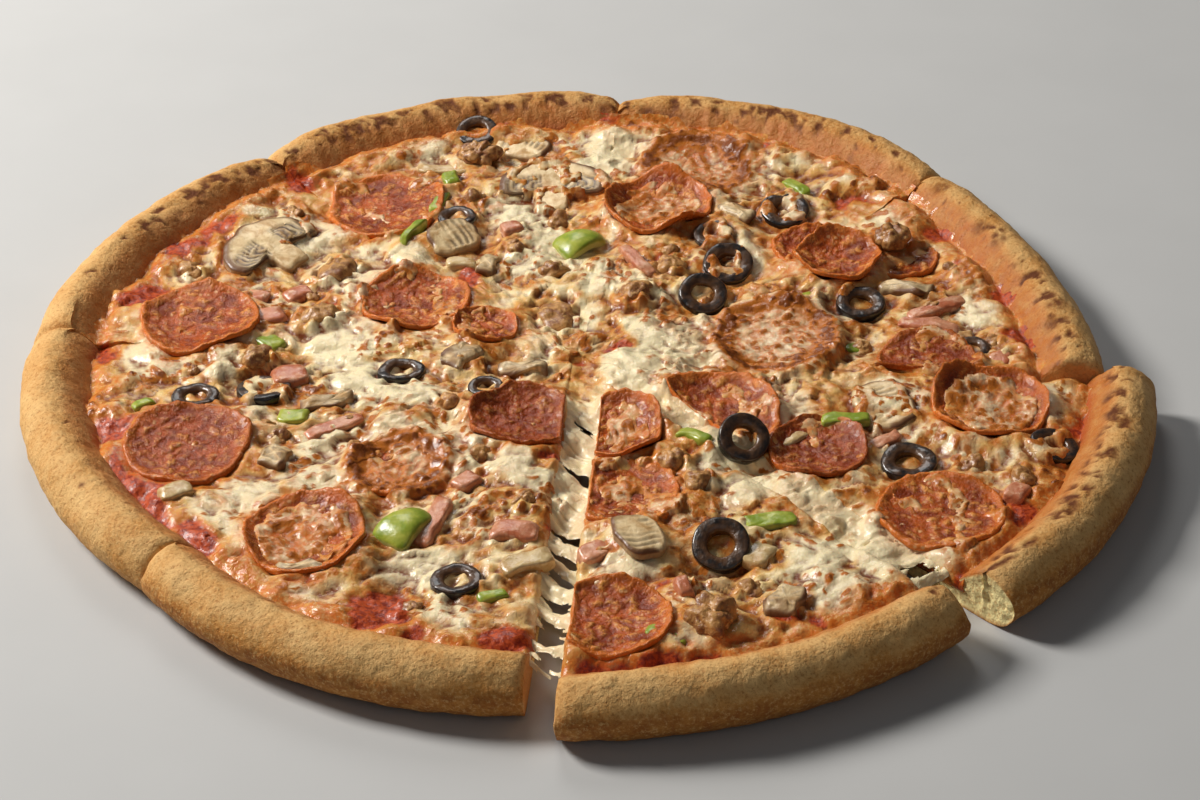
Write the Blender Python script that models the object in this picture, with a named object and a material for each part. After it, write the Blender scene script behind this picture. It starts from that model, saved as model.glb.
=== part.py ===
"""Round pizza with a thick baked rim, cut into eight slices, in metres with +Z up.

Each slice is a crust with its own sheet of melted cheese. Large toppings are pieces of their own,
laid on the cheese, and the small ones are baked into the cheese that they lie in. The two slices at
the front right are drawn a little way out. Sizes below are in millimetres and angles in degrees,
counted anticlockwise from +X. Places are measured from the point where the cuts cross.
"""

import math
from collections import namedtuple

import bmesh
import bpy
from mathutils import Matrix, Vector, noise
from mathutils.bvhtree import BVHTree

MM = 0.001
OBJECT_NAME = "pizza"

# Crust
BASE_THICK = 5.0
NOMINAL_REACH = 178.0
RIM_WIDTH = 26.0
RIM_HEIGHT = 20.5
RIM_STEPS = 9
RIM_LUMP = 1.0
RIM_LUMP_LENGTH = 26.0
END_PINCH = 1.6
TIP_RADIUS = 5.0
SLICE_STANDOFF = 1.4

# Cheese
CHEESE_TOP = 10.6
CHEESE_FLOOR_GAP = 0.35
CHEESE_RIM_GAP = 1.1
CHEESE_RINGS = 12
CHEESE_STEPS = 9
SWELL = 1.5
SWELL_LENGTH = 34.0
LUMP = 1.6
LUMP_LENGTH = 15.0

# Toppings
LIE_GAP = 0.45
SAMPLE_STEP = 1.0
LIFT_STEP = 0.3
BIT_SHARE = 0.3
BIT_RISE = 0.15
PEPPERONI_THICK = 1.7
PEPPERONI_SIDES = 14
OLIVE_HOLE = 0.4
OLIVE_THICK = 4.6
OLIVE_SIDES = 10
MUSHROOM_THICK = 3.2
PEPPER_WALL = 3.6
CUT_CLEARANCE = 0.5

# The point where the cuts cross, seen from the middle of the pizza's box
CUT_CENTRE_X = -2.0
CUT_CENTRE_Y = 4.6

# A slice's reach is its rim's distance from the crossing at its first cut, its middle and its last cut
Slice = namedtuple("Slice", "name start end reach shift turn")
SLICES = (
    Slice("a", 39.0, 84.0, (174.5, 180.0, 176.3), (0.0, 0.0), 0.0),
    Slice("b", -7.0, 39.0, (175.0, 170.5, 174.5), (0.0, 0.0), 0.0),
    Slice("c", 308.5, 353.0, (174.5, 175.5, 176.0), (13.5, -8.5), 2.5),
    Slice("d", 264.6, 308.5, (177.0, 175.3, 171.5), (8.3, -11.0), 0.0),
    Slice("e", 220.6, 264.6, (175.6, 179.5, 177.0), (0.0, 0.0), 0.0),
    Slice("f", 174.1, 220.6, (185.0, 181.5, 175.4), (0.0, 0.0), 0.0),
    Slice("g", 130.0, 174.1, (181.2, 184.3, 185.8), (0.0, 0.0), 0.0),
    Slice("h", 84.0, 130.0, (177.0, 180.8, 181.2), (0.0, 0.0), 0.0),
)

# Rim section from the underside over the top to the base: way in from the outer edge, and height
RIM_SECTION = (
    (12.0, 0.0), (5.0, 1.6), (1.2, 5.8), (0.0, 10.5), (1.6, 15.4), (5.2, 19.0), (10.0, RIM_HEIGHT),
    (15.0, 18.8), (19.5, 14.8), (23.0, 10.4), (RIM_WIDTH, BASE_THICK),
)

# Large toppings: place, width, direction in which the piece is tilted, and how steeply
Topping = namedtuple("Topping", "x y width toward tilt curl slice")
PEPPERONI = (
    Topping(-68, 102, 42, 0, 0, 2.5, ""), Topping(44, 125, 40, 0, 0, 1.5, ""),
    Topping(30, 95, 38, 90, 2, 6.0, ""), Topping(84, 68, 29, 0, 0, 1.0, ""),
    Topping(113, 58, 26, 0, 0, 1.0, ""), Topping(91, 54, 30, 100, 4, 4.5, ""),
    Topping(66, 8, 42, 0, 0, 3.0, ""), Topping(116, -9, 34, 90, 3, 2.0, "b"),
    Topping(-128, 26, 41, 0, 0, 3.0, ""), Topping(-125, -46, 41, 95, 5, 2.0, ""),
    Topping(-84, -97, 38, 70, 3, 4.0, ""), Topping(-57, -61, 31, 90, 4, 2.0, ""),
    Topping(-18, -37, 34, 120, 6, 4.0, "e"), Topping(-55, 37, 38, 0, 0, 3.0, ""),
    Topping(-31, 19, 22, 200, 6, 2.5, ""), Topping(12, -44, 31, 70, 6, 5.0, "d"),
    Topping(44, -37, 42, 90, 5, 4.0, "c"), Topping(14, -78, 36, 0, 0, 2.0, "d"),
    Topping(9, -143, 37, 60, 3, 3.5, "d"), Topping(76, -57, 32, 80, 3, 3.0, ""),
    Topping(133, -36, 38, 90, 5, 5.0, "c"), Topping(111, -92, 40, 0, 0, 2.5, ""),
)
MUSHROOMS = (
    Topping(-107, 73, 38, 140, 6, 0, ""), Topping(-19, 144, 21, 60, 10, 0, ""),
    Topping(-8, 112, 40, 90, 6, 0, ""), Topping(-43, 78, 19, 120, 20, 0, ""),
    Topping(18, -105, 20, 200, 14, 0, ""), Topping(99, -34, 24, 20, 8, 0, "c"),
)
SAUSAGES = (
    Topping(-35, 134, 16, 0, 0, 0, ""), Topping(111, 64, 15, 40, 0, 0, ""),
    Topping(38, -146, 17, 80, 0, 0, ""),
)
PEPPERS = (Topping(-53, -94, 19, 50, 14, 0, ""), Topping(2, 72, 18, 30, 14, 0, ""))
OLIVES = (
    Topping(-36, 152, 16, 90, 16, 0, ""), Topping(75, 92, 18, 90, 10, 0, ""),
    Topping(53, 58, 18, 100, 20, 0, ""), Topping(49, 75, 14, 60, 12, 0, ""),
    Topping(43, 38, 17, 110, 24, 0, ""), Topping(97, 30, 17, 90, 6, 0, ""),
    Topping(52, -54, 17, 110, 36, 0, ""), Topping(43, -107, 18, 80, 30, 0, ""),
    Topping(104, -63, 18, 90, 4, 0, ""), Topping(150, -58, 16, 150, 14, 0, ""),
    Topping(-103, -15, 18, 270, 8, 0, ""),
)

# Small toppings baked into the cheese: slice, place, length, width, height and direction
Bit = namedtuple("Bit", "slice x y length width height toward")
NUGGETS = (
    Bit("h", -84, 120, 10, 8, 7, 20), Bit("g", -83, 57, 18, 13, 10, 60), Bit("h", -36, 105, 9, 8, 7, 0),
    Bit("h", -6, 90, 10, 8, 7, 70), Bit("h", -8, 55, 11, 9, 8, 30), Bit("a", 33, 58, 12, 10, 8, 10),
    Bit("a", 21, 36, 12, 10, 8, 45), Bit("g", -134, 61, 11, 9, 7, 80), Bit("g", -87, 27, 15, 11, 9, 15),
    Bit("f", -107, 3, 13, 11, 9, 50), Bit("h", -7, 28, 19, 14, 6, 100), Bit("e", -31, -55, 9, 9, 7, 0),
    Bit("d", 30, -62, 11, 9, 7, 20), Bit("d", 37, -74, 9, 9, 7, 50), Bit("c", 124, -66, 10, 9, 7, 70),
    Bit("c", 138, -76, 11, 9, 8, 110), Bit("b", 139, 4, 10, 8, 6, 40),
)
HAM_STRIPS = (
    Bit("h", -22, 81, 8, 7, 7, 20), Bit("a", 22, 60, 21, 5, 5, 120), Bit("b", 122, 25, 23, 6, 4, 25),
    Bit("b", 118, 12, 21, 6, 4, 165), Bit("b", 140, -8, 8, 7, 5, 40), Bit("g", -96, 44, 10, 7, 6, 30),
    Bit("g", -104, 29, 10, 9, 6, 15), Bit("f", -95, -7, 12, 10, 6, 10), Bit("f", -79, -36, 21, 6, 5, 30),
    Bit("e", -45, -90, 25, 7, 6, 72), Bit("e", -20, -99, 15, 9, 6, 175), Bit("e", -35, -71, 9, 7, 6, 40),
    Bit("d", 4, -108, 10, 8, 6, 30), Bit("c", 97, -52, 13, 5, 5, 30), Bit("c", 135, -84, 9, 7, 6, 60),
    Bit("d", 31, -129, 9, 5, 9, 100), Bit("g", -110, 42, 9, 6, 5, 150),
)
PEPPER_BITS = (
    Bit("h", -45, 120, 9, 6, 6, 100), Bit("h", -49, 102, 15, 5, 6, 75), Bit("h", -57, 80, 18, 3, 5, 65),
    Bit("a", 80, 108, 14, 5, 5, 120), Bit("b", 76, 34, 12, 4, 4, 10), Bit("b", 90, 3, 14, 5, 4, 160),
    Bit("g", -104, 14, 11, 8, 5, 140), Bit("f", -92, -30, 10, 7, 5, 0), Bit("f", -141, -23, 8, 4, 4, 30),
    Bit("d", 37, -51, 12, 5, 6, 150), Bit("d", 58, -95, 17, 7, 4, 10), Bit("d", 25, -151, 13, 6, 5, 160),
    Bit("c", 86, -42, 16, 6, 4, 5), Bit("e", -26, -128, 9, 4, 4, 20),
)
OLIVE_BITS = (
    Bit("h", -42, 90, 14, 14, 6, 0), Bit("b", 131, -1, 13, 13, 5, 0), Bit("f", -125, -19, 16, 14, 5, 0),
    Bit("e", -37, -120, 16, 15, 5, 0), Bit("f", -30, -18, 12, 12, 7, 0), Bit("f", -58, -6, 16, 13, 5, 0),
)
MUSHROOM_BITS = (
    Bit("h", -30, 60, 12, 7, 6, 70), Bit("a", 57, 90, 15, 7, 4, 140), Bit("b", 113, 37, 19, 6, 4, 165),
    Bit("f", -82, -22, 18, 7, 5, 10), Bit("f", -96, -54, 11, 9, 6, 60), Bit("f", -38, 0, 14, 10, 5, 50),
    Bit("d", 60, -137, 13, 10, 8, 70), Bit("f", -18, -5, 17, 6, 6, 175), Bit("e", -84, -112, 18, 4, 4, 170),
)
ONION_BITS = (
    Bit("h", -47, 128, 22, 5, 4, 170), Bit("h", -40, 61, 11, 5, 5, 170), Bit("f", -126, -73, 11, 7, 5, 20),
    Bit("e", -16, -113, 17, 8, 6, 25), Bit("d", 54, -111, 11, 9, 5, 60), Bit("c", 69, -48, 14, 8, 5, 30),
)

# Materials: colour, roughness
FINISHES = {
    "crust": ((0.55, 0.33, 0.13), 0.65), "cheese": ((0.86, 0.70, 0.38), 0.35),
    "pepperoni": ((0.42, 0.08, 0.03), 0.40), "olive": ((0.02, 0.02, 0.025), 0.25),
    "mushroom": ((0.36, 0.25, 0.12), 0.50), "pepper": ((0.32, 0.45, 0.08), 0.35),
    "sausage": ((0.33, 0.18, 0.09), 0.60),
}


def clear_scene():
    """Remove every object, so that the model starts from an empty scene."""
    for old in list(bpy.data.objects):
        bpy.data.objects.remove(old, do_unlink=True)


def new_collection(name):
    """Return a new collection in the scene."""
    made = bpy.data.collections.new(name)
    bpy.context.scene.collection.children.link(made)
    return made


def finish(kind):
    """Return the material of a kind of piece, made on its first use."""
    found = bpy.data.materials.get(kind)
    if found:
        return found
    colour, roughness = FINISHES[kind]
    made = bpy.data.materials.new(kind)
    made.use_nodes = True
    shader = made.node_tree.nodes["Principled BSDF"]
    shader.inputs["Base Color"].default_value = (*colour, 1.0)
    shader.inputs["Roughness"].default_value = roughness
    return made


def add_object(bm, name, kind, collection):
    """Turn a bmesh in millimetres into a smooth shaded object of the collection, in triangles."""
    bmesh.ops.recalc_face_normals(bm, faces=bm.faces[:])
    bmesh.ops.triangulate(bm, faces=bm.faces[:])
    bmesh.ops.scale(bm, vec=(MM, MM, MM), verts=bm.verts[:])
    mesh = bpy.data.meshes.new(name)
    bm.to_mesh(mesh)
    bm.free()
    mesh.materials.append(finish(kind))
    mesh.shade_smooth()
    mesh.set_sharp_from_angle(angle=math.radians(40))
    made = bpy.data.objects.new(name, mesh)
    collection.objects.link(made)
    return made


def bumps(x, y, length, layer=0.0):
    """Return smooth noise between about -1 and 1 whose waves are about this long."""
    return 1.6 * noise.noise(Vector((x / length, y / length, layer)))


def cheese_swell(x, y):
    """Return the height of the cheese without its small lumps."""
    return CHEESE_TOP + SWELL * bumps(x, y, SWELL_LENGTH)


def cheese_height(x, y):
    """Return the height of the cheese with its small lumps."""
    return cheese_swell(x, y) + LUMP * bumps(x, y, LUMP_LENGTH, 7.3)


def reach_at(piece, angle):
    """Return how far the rim reaches at an angle, on the curve through the slice's three reaches."""
    first, middle, last = (reach - SLICE_STANDOFF for reach in piece.reach)
    t = (angle - piece.start) / (piece.end - piece.start)
    return first * (1 - t) * (1 - 2 * t) + middle * 4 * t * (1 - t) + last * t * (2 * t - 1)


def slice_named(name):
    """Return the slice of that name."""
    return next(piece for piece in SLICES if piece.name == name)


def slice_move(piece):
    """Return the matrix that takes a slice from the uncut round to where it lies."""
    middle = math.radians((piece.start + piece.end) / 2)
    out = Vector((math.cos(middle), math.sin(middle), 0)) * SLICE_STANDOFF
    turn = Matrix.Rotation(math.radians(piece.turn), 4, "Z")
    return Matrix.Translation(Vector((*piece.shift, 0)) + out) @ turn


def swept_slice(piece, section, steps):
    """Spin a closed section through a slice's angle and return the bmesh."""
    bm = bmesh.new()
    corners = [bm.verts.new((radius, 0, height)) for radius, height in section]
    bm.faces.new(corners)
    bmesh.ops.rotate(bm, verts=corners, matrix=Matrix.Rotation(math.radians(piece.start), 3, "Z"))
    bmesh.ops.spin(
        bm, geom=bm.verts[:] + bm.edges[:] + bm.faces[:], cent=(0, 0, 0), axis=(0, 0, 1),
        angle=math.radians(piece.end - piece.start), steps=steps, use_duplicate=False,
    )
    return bm


def polar(point, piece):
    """Return a point's distance from the crossing and its angle within the slice's range."""
    angle = math.degrees(math.atan2(point.y, point.x))
    middle = (piece.start + piece.end) / 2
    angle += 360 * round((middle - angle) / 360)
    return math.hypot(point.x, point.y), angle


def set_polar(vert, radius, angle, height):
    """Move a vertex to a distance and angle round the crossing."""
    turn = math.radians(angle)
    vert.co = (radius * math.cos(turn), radius * math.sin(turn), height)


def make_crust(piece, collection):
    """Make a slice's base and rim, with the rim uneven along its length and pinched at the cuts."""
    rim = [(NOMINAL_REACH - way_in, height) for way_in, height in RIM_SECTION]
    bm = swept_slice(piece, [(TIP_RADIUS, 0.0)] + rim + [(TIP_RADIUS, BASE_THICK)], RIM_STEPS)
    for vert in bm.verts:
        radius, angle = polar(vert.co, piece)
        height = vert.co.z
        if radius > TIP_RADIUS + 1:
            along = math.radians(angle) * NOMINAL_REACH
            share = min(1.0, max(0.0, (height - BASE_THICK) / (RIM_HEIGHT - BASE_THICK)))
            at_end = min(angle - piece.start, piece.end - angle) < 1
            pinch = END_PINCH if at_end else 0.0
            height += share * (RIM_LUMP * bumps(along, height, RIM_LUMP_LENGTH) - pinch)
            outer = radius > NOMINAL_REACH - RIM_WIDTH / 2
            swell = RIM_LUMP * bumps(along, 50.0, RIM_LUMP_LENGTH) - pinch
            radius += reach_at(piece, angle) - NOMINAL_REACH + (share * swell if outer else 0.0)
        set_polar(vert, radius, angle, height)
    bmesh.ops.transform(bm, matrix=slice_move(piece), verts=bm.verts[:])
    return add_object(bm, "crust_" + piece.name, "crust", collection)


def make_cheese(piece, collection):
    """Make a slice's cheese, from just above the base up to its lumpy top, clear of the rim."""
    floor = BASE_THICK + CHEESE_FLOOR_GAP
    outer_floor = NOMINAL_REACH - RIM_WIDTH - CHEESE_RIM_GAP
    outer_top = NOMINAL_REACH - RIM_WIDTH + 2.6 - CHEESE_RIM_GAP
    tip = TIP_RADIUS + 1
    rings = [outer_top + (tip - outer_top) * k / CHEESE_RINGS for k in range(CHEESE_RINGS + 1)]
    section = [(tip, floor), (outer_floor, floor)] + [(radius, CHEESE_TOP) for radius in rings]
    bm = swept_slice(piece, section, CHEESE_STEPS)
    move = slice_move(piece)
    for vert in bm.verts:
        radius, angle = polar(vert.co, piece)
        grown = radius - tip
        span = outer_floor - tip
        radius += grown / span * (reach_at(piece, angle) - NOMINAL_REACH)
        height = vert.co.z
        if height > floor + 1:
            turn = math.radians(angle)
            place = move @ Vector((radius * math.cos(turn), radius * math.sin(turn), 0))
            height = cheese_height(place.x, place.y)
            if radius > reach_at(piece, angle) - RIM_WIDTH:
                height = min(height, CHEESE_TOP - 1.2)
        set_polar(vert, radius, angle, height)
    bmesh.ops.transform(bm, matrix=move, verts=bm.verts[:])
    return add_object(bm, "cheese_" + piece.name, "cheese", collection)


def revolved(section, sides, closed):
    """Turn a half section about the vertical axis and return the bmesh."""
    bm = bmesh.new()
    points = [bm.verts.new((radius, 0, height)) for radius, height in section]
    pairs = list(zip(points, points[1:] + points[:1])) if closed else list(zip(points, points[1:]))
    edges = [bm.edges.new(pair) for pair in pairs]
    bmesh.ops.spin(
        bm, geom=points + edges, cent=(0, 0, 0), axis=(0, 0, 1), angle=2 * math.pi, steps=sides,
        use_duplicate=False,
    )
    bmesh.ops.remove_doubles(bm, verts=bm.verts[:], dist=0.001)
    return bm


def tilt_matrix(item):
    """Return the matrix that lifts a piece's far side, seen in the direction it is tilted toward."""
    turn = math.radians(item.toward)
    axis = Vector((-math.sin(turn), math.cos(turn), 0))
    return Matrix.Rotation(-math.radians(item.tilt), 4, axis)


def place_piece(bm, item, drape):
    """Tilt a piece, take it to its place and bend it over the cheese's broad swells."""
    bmesh.ops.transform(bm, matrix=tilt_matrix(item), verts=bm.verts[:])
    for vert in bm.verts:
        vert.co.x += item.x
        vert.co.y += item.y
        at = vert.co if drape else Vector((item.x, item.y, 0))
        vert.co.z += cheese_swell(at.x, at.y)


def trim_to_slice(bm, piece):
    """Cut a piece along both cuts of its slice, a little inside them."""
    move = slice_move(piece)
    for angle, side in ((piece.start, 1), (piece.end, -1)):
        turn = math.radians(angle)
        inward = Vector((-math.sin(turn), math.cos(turn), 0)) * side
        normal = (move.to_3x3() @ inward).normalized()
        point = move @ Vector((0, 0, 0)) + normal * CUT_CLEARANCE
        cut = bmesh.ops.bisect_plane(
            bm, geom=bm.verts[:] + bm.edges[:] + bm.faces[:], dist=0.0001, plane_co=point,
            plane_no=normal, clear_inner=True,
        )
        edges = [part for part in cut["geom_cut"] if isinstance(part, bmesh.types.BMEdge)]
        if edges:
            bmesh.ops.edgeloop_fill(bm, edges=edges)


def make_pepperoni(item, name, collection):
    """Make a thin slice of pepperoni whose edge is curled up unevenly."""
    radius = item.width / 2
    inner = radius * 0.62
    half = [(0, 0), (inner, 0), (radius, 0), (radius, PEPPERONI_THICK), (inner, PEPPERONI_THICK),
            (0, PEPPERONI_THICK)]
    bm = revolved(half, PEPPERONI_SIDES, False)
    for vert in bm.verts:
        out = math.hypot(vert.co.x, vert.co.y) / radius
        angle = math.atan2(vert.co.y, vert.co.x)
        ruffle = 1 + 0.35 * math.sin(3 * angle + item.x) + 0.2 * math.sin(5 * angle + item.y)
        vert.co.z += item.curl * ruffle * out ** 3
    place_piece(bm, item, True)
    if item.slice:
        trim_to_slice(bm, slice_named(item.slice))
    return add_object(bm, name, "pepperoni", collection)


def make_olive(item, name, collection):
    """Make a slice of olive, a ring with a round hole."""
    outer = item.width / 2
    hole = outer * OLIVE_HOLE
    crown = (outer + hole) / 2
    thick = OLIVE_THICK
    ring = [(hole, 0.25 * thick), (crown, 0), (outer, 0.2 * thick), (outer, 0.8 * thick), (crown, thick),
            (hole, 0.75 * thick)]
    bm = revolved(ring, OLIVE_SIDES, True)
    place_piece(bm, item, False)
    return add_object(bm, name, "olive", collection)


def mushroom_outline(width):
    """Return the outline of a mushroom cut lengthwise: a domed cap over a short stem."""
    cap = [math.radians(angle) for angle in range(-20, 201, 20)]
    dome = [(0.5 * width * math.cos(a), 0.36 * width * math.sin(a)) for a in cap]
    stem = [(-0.13 * width, -0.1 * width), (-0.15 * width, -0.36 * width),
            (0.15 * width, -0.36 * width), (0.13 * width, -0.1 * width)]
    return dome + stem


def make_mushroom(item, name, collection):
    """Make a lengthwise slice of mushroom, tilted against what is beside it."""
    bm = bmesh.new()
    outline = [bm.verts.new((x, y, 0)) for x, y in mushroom_outline(item.width)]
    face = bm.faces.new(outline)
    pulled = bmesh.ops.extrude_face_region(bm, geom=[face])
    top = [part for part in pulled["geom"] if isinstance(part, bmesh.types.BMVert)]
    bmesh.ops.translate(bm, vec=(0, 0, MUSHROOM_THICK), verts=top)
    turn = Matrix.Rotation(math.radians(item.toward - 90), 4, "Z")
    bmesh.ops.transform(bm, matrix=turn, verts=bm.verts[:])
    place_piece(bm, item, True)
    if item.slice:
        trim_to_slice(bm, slice_named(item.slice))
    return add_object(bm, name, "mushroom", collection)


def make_pepper(item, name, collection):
    """Make a chunk of green pepper, a bent piece of the fruit's wall."""
    bm = bmesh.new()
    bmesh.ops.create_cube(bm, size=1)
    bmesh.ops.scale(bm, vec=(item.width, item.width * 0.62, PEPPER_WALL), verts=bm.verts[:])
    long_edges = [edge for edge in bm.edges if abs(edge.verts[0].co.x - edge.verts[1].co.x) > 1]
    bmesh.ops.subdivide_edges(bm, edges=long_edges, cuts=3, use_grid_fill=True)
    for vert in bm.verts:
        share = vert.co.x / (item.width / 2)
        vert.co.z += 0.2 * item.width * (1 - share * share)
        vert.co.y *= 1 - 0.3 * share
    turn = Matrix.Rotation(math.radians(item.toward), 4, "Z")
    bmesh.ops.transform(bm, matrix=turn, verts=bm.verts[:])
    place_piece(bm, item, False)
    return add_object(bm, name, "pepper", collection)


def lump_mesh(length, width, height, rounds, key):
    """Return a bmesh of a rough lump of minced meat."""
    bm = bmesh.new()
    bmesh.ops.create_icosphere(bm, subdivisions=rounds, radius=0.5)
    for vert in bm.verts:
        rough = 1 + 0.16 * noise.noise(vert.co * 5 + Vector((key, 2 * key, 0)))
        vert.co = Vector((vert.co.x * length, vert.co.y * width, vert.co.z * height)) * rough
    return bm


def make_sausage(item, name, collection):
    """Make a large lump of sausage meat."""
    bm = lump_mesh(item.width, item.width * 0.8, item.width * 0.55, 2, item.x)
    turn = Matrix.Rotation(math.radians(item.toward), 4, "Z")
    bmesh.ops.transform(bm, matrix=turn, verts=bm.verts[:])
    place_piece(bm, item, False)
    return add_object(bm, name, "sausage", collection)


def surface_tree(made):
    """Return the search tree of an object's faces in millimetres."""
    points = [made.matrix_world @ vert.co / MM for vert in made.data.vertices]
    return BVHTree.FromPolygons(points, [tuple(face.vertices) for face in made.data.polygons])


def settle(made, ground):
    """Lower or raise a piece until it lies just above everything under it."""
    tree = surface_tree(made)
    points = [vert.co / MM for vert in made.data.vertices]
    low_x, high_x = min(p.x for p in points), max(p.x for p in points)
    low_y, high_y = min(p.y for p in points), max(p.y for p in points)
    room = math.inf
    for i in range(int((high_x - low_x) / SAMPLE_STEP) + 2):
        for j in range(int((high_y - low_y) / SAMPLE_STEP) + 2):
            x, y = low_x + i * SAMPLE_STEP, low_y + j * SAMPLE_STEP
            under = tree.ray_cast(Vector((x, y, -50)), Vector((0, 0, 1)))[0]
            if under is None:
                continue
            hits = [floor.ray_cast(Vector((x, y, 100)), Vector((0, 0, -1)))[0] for floor in ground]
            tops = [hit.z for hit in hits if hit is not None]
            if tops:
                room = min(room, under.z - max(tops))
    made.data.transform(Matrix.Translation((0, 0, (LIE_GAP - room) * MM)))
    while any(surface_tree(made).overlap(floor) for floor in ground):
        made.data.transform(Matrix.Translation((0, 0, LIFT_STEP * MM)))


def bit_mesh(item, kind):
    """Return a bmesh of a small topping of a kind, about the origin."""
    if kind == "nugget":
        return lump_mesh(item.length, item.width, item.height, 1, item.x)
    bm = bmesh.new()
    if kind == "olive":
        bmesh.ops.create_cone(
            bm, cap_ends=True, segments=8, radius1=0.5, radius2=0.46, depth=1,
        )
    else:
        bmesh.ops.create_cube(bm, size=1)
    bmesh.ops.scale(bm, vec=(item.length, item.width, item.height), verts=bm.verts[:])
    return bm


def lies_clear(item):
    """Return whether a small topping lies clear of every large one."""
    large = PEPPERONI + MUSHROOMS + SAUSAGES + PEPPERS + OLIVES
    return all(math.dist((item.x, item.y), (other.x, other.y)) > other.width / 2 + BIT_SHARE * item.length
               for other in large)


def bake_in(piece, cheese):
    """Join a slice's small toppings to its cheese by one union, and keep the largest body."""
    loose = new_collection("small_toppings_" + piece.name)
    kinds = (("nugget", NUGGETS), ("strip", HAM_STRIPS), ("strip", PEPPER_BITS), ("olive", OLIVE_BITS),
             ("strip", MUSHROOM_BITS), ("strip", ONION_BITS))
    for kind, items in kinds:
        for item in items:
            if item.slice != piece.name or not lies_clear(item):
                continue
            bm = bit_mesh(item, kind)
            turn = Matrix.Rotation(math.radians(item.toward), 4, "Z")
            height = cheese_height(item.x, item.y) + BIT_RISE * item.height
            place = Matrix.Translation((item.x, item.y, height))
            bmesh.ops.transform(bm, matrix=place @ turn, verts=bm.verts[:])
            trim_to_slice(bm, piece)
            add_object(bm, "bit", "sausage", loose)
    union = cheese.modifiers.new("small toppings", "BOOLEAN")
    union.operation = "UNION"
    union.operand_type = "COLLECTION"
    union.collection = loose
    union.solver = "MANIFOLD"
    bpy.context.view_layer.update()
    joined = bpy.data.meshes.new_from_object(cheese.evaluated_get(bpy.context.evaluated_depsgraph_get()))
    bm = bmesh.new()
    bm.from_mesh(joined)
    bmesh.ops.triangulate(bm, faces=bm.faces[:])
    bm.to_mesh(joined)
    bm.free()
    cheese.modifiers.clear()
    cheese.data = joined
    joined.name = cheese.name
    joined.materials.clear()
    joined.materials.append(finish("cheese"))
    for used in list(loose.objects):
        bpy.data.objects.remove(used, do_unlink=True)
    bpy.data.collections.remove(loose)


def move_to_frame(collection):
    """Take every piece from the crossing's frame to the frame at the middle of the pizza's box."""
    for made in collection.objects:
        made.data.transform(Matrix.Translation((CUT_CENTRE_X * MM, CUT_CENTRE_Y * MM, 0)))


def main():
    """Build the crusts, the cheese with its small toppings, and the large toppings on them."""
    clear_scene()
    pizza = new_collection(OBJECT_NAME)
    for piece in SLICES:
        make_crust(piece, pizza)
        cheese = make_cheese(piece, pizza)
        bake_in(piece, cheese)
    kinds = (
        (make_pepperoni, "pepperoni", PEPPERONI), (make_mushroom, "mushroom", MUSHROOMS),
        (make_sausage, "sausage", SAUSAGES), (make_pepper, "pepper", PEPPERS),
        (make_olive, "olive", OLIVES),
    )
    ground = [surface_tree(made) for made in pizza.objects]
    for make, kind, items in kinds:
        for number, item in enumerate(items, 1):
            made = make(item, f"{kind}_{number:02d}", pizza)
            settle(made, ground)
            ground.append(surface_tree(made))
    move_to_frame(pizza)


if __name__ == "__main__":
    main()
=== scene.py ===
"""Looks of a round pizza with a thick hand-rolled rim, baked and cut into eight slices.

Every slice is a crust and a sheet of melted cheese over sauce. Pepperoni, mushroom, olive, green pepper
and sausage lie on the cheese, small pieces of meat and vegetable sit in it, and cheese strings cross
the gaps beside the two slices that are drawn out. Sizes are in millimetres and angles in degrees,
counted anticlockwise from +X; places are measured from the point where the cuts cross.
"""

import itertools
import logging
import math
from dataclasses import dataclass
from enum import Enum
from typing import ClassVar, Sequence

import bmesh
import bpy
import numpy as np
from mathutils import Matrix, Vector, noise


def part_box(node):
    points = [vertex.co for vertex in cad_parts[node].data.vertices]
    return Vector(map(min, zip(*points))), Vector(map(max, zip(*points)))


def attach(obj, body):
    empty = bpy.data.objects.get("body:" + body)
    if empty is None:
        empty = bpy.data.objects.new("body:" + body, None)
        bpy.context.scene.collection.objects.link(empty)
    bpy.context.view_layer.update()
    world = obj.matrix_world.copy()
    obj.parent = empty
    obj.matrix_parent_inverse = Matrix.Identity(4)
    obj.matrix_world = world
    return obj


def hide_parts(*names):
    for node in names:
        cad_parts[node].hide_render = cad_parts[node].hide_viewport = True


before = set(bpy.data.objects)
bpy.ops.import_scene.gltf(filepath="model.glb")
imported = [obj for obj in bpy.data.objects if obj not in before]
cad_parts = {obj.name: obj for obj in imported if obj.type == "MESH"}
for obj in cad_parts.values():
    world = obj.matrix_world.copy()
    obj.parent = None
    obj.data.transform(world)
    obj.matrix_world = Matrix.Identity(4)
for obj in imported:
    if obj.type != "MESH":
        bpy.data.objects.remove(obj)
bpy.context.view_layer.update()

LOG = logging.getLogger("pizza")
Array = np.ndarray
Pair = tuple[Array, Array]
Tones = dict[str, Array]
Shape = tuple[Array, Tones]
Colour = tuple[float, float, float]
Material = bpy.types.Material
Socket = bpy.types.NodeSocket

MM = 0.001
MM_PER_METRE = 1000.0
BODY = "root"

# The point where the cuts cross, seen from the middle of the pizza's box
CUT_CENTRE_X = -2.0
CUT_CENTRE_Y = 4.6

# Crust and cheese, as the solids have them
BASE_THICK = 5.0
NOMINAL_REACH = 178.0
RIM_WIDTH = 26.0
RIM_HEIGHT = 20.5
RIM_LUMP = 1.0
RIM_LUMP_LENGTH = 26.0
END_PINCH = 1.6
SLICE_STANDOFF = 1.4
CHEESE_TOP = 10.6
CHEESE_FLOOR = BASE_THICK + 0.35
SWELL = 1.5
SWELL_LENGTH = 34.0
LUMP = 1.6
LUMP_LENGTH = 15.0
LUMP_LAYER = 7.3
CUT_CLEARANCE = 0.5

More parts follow.
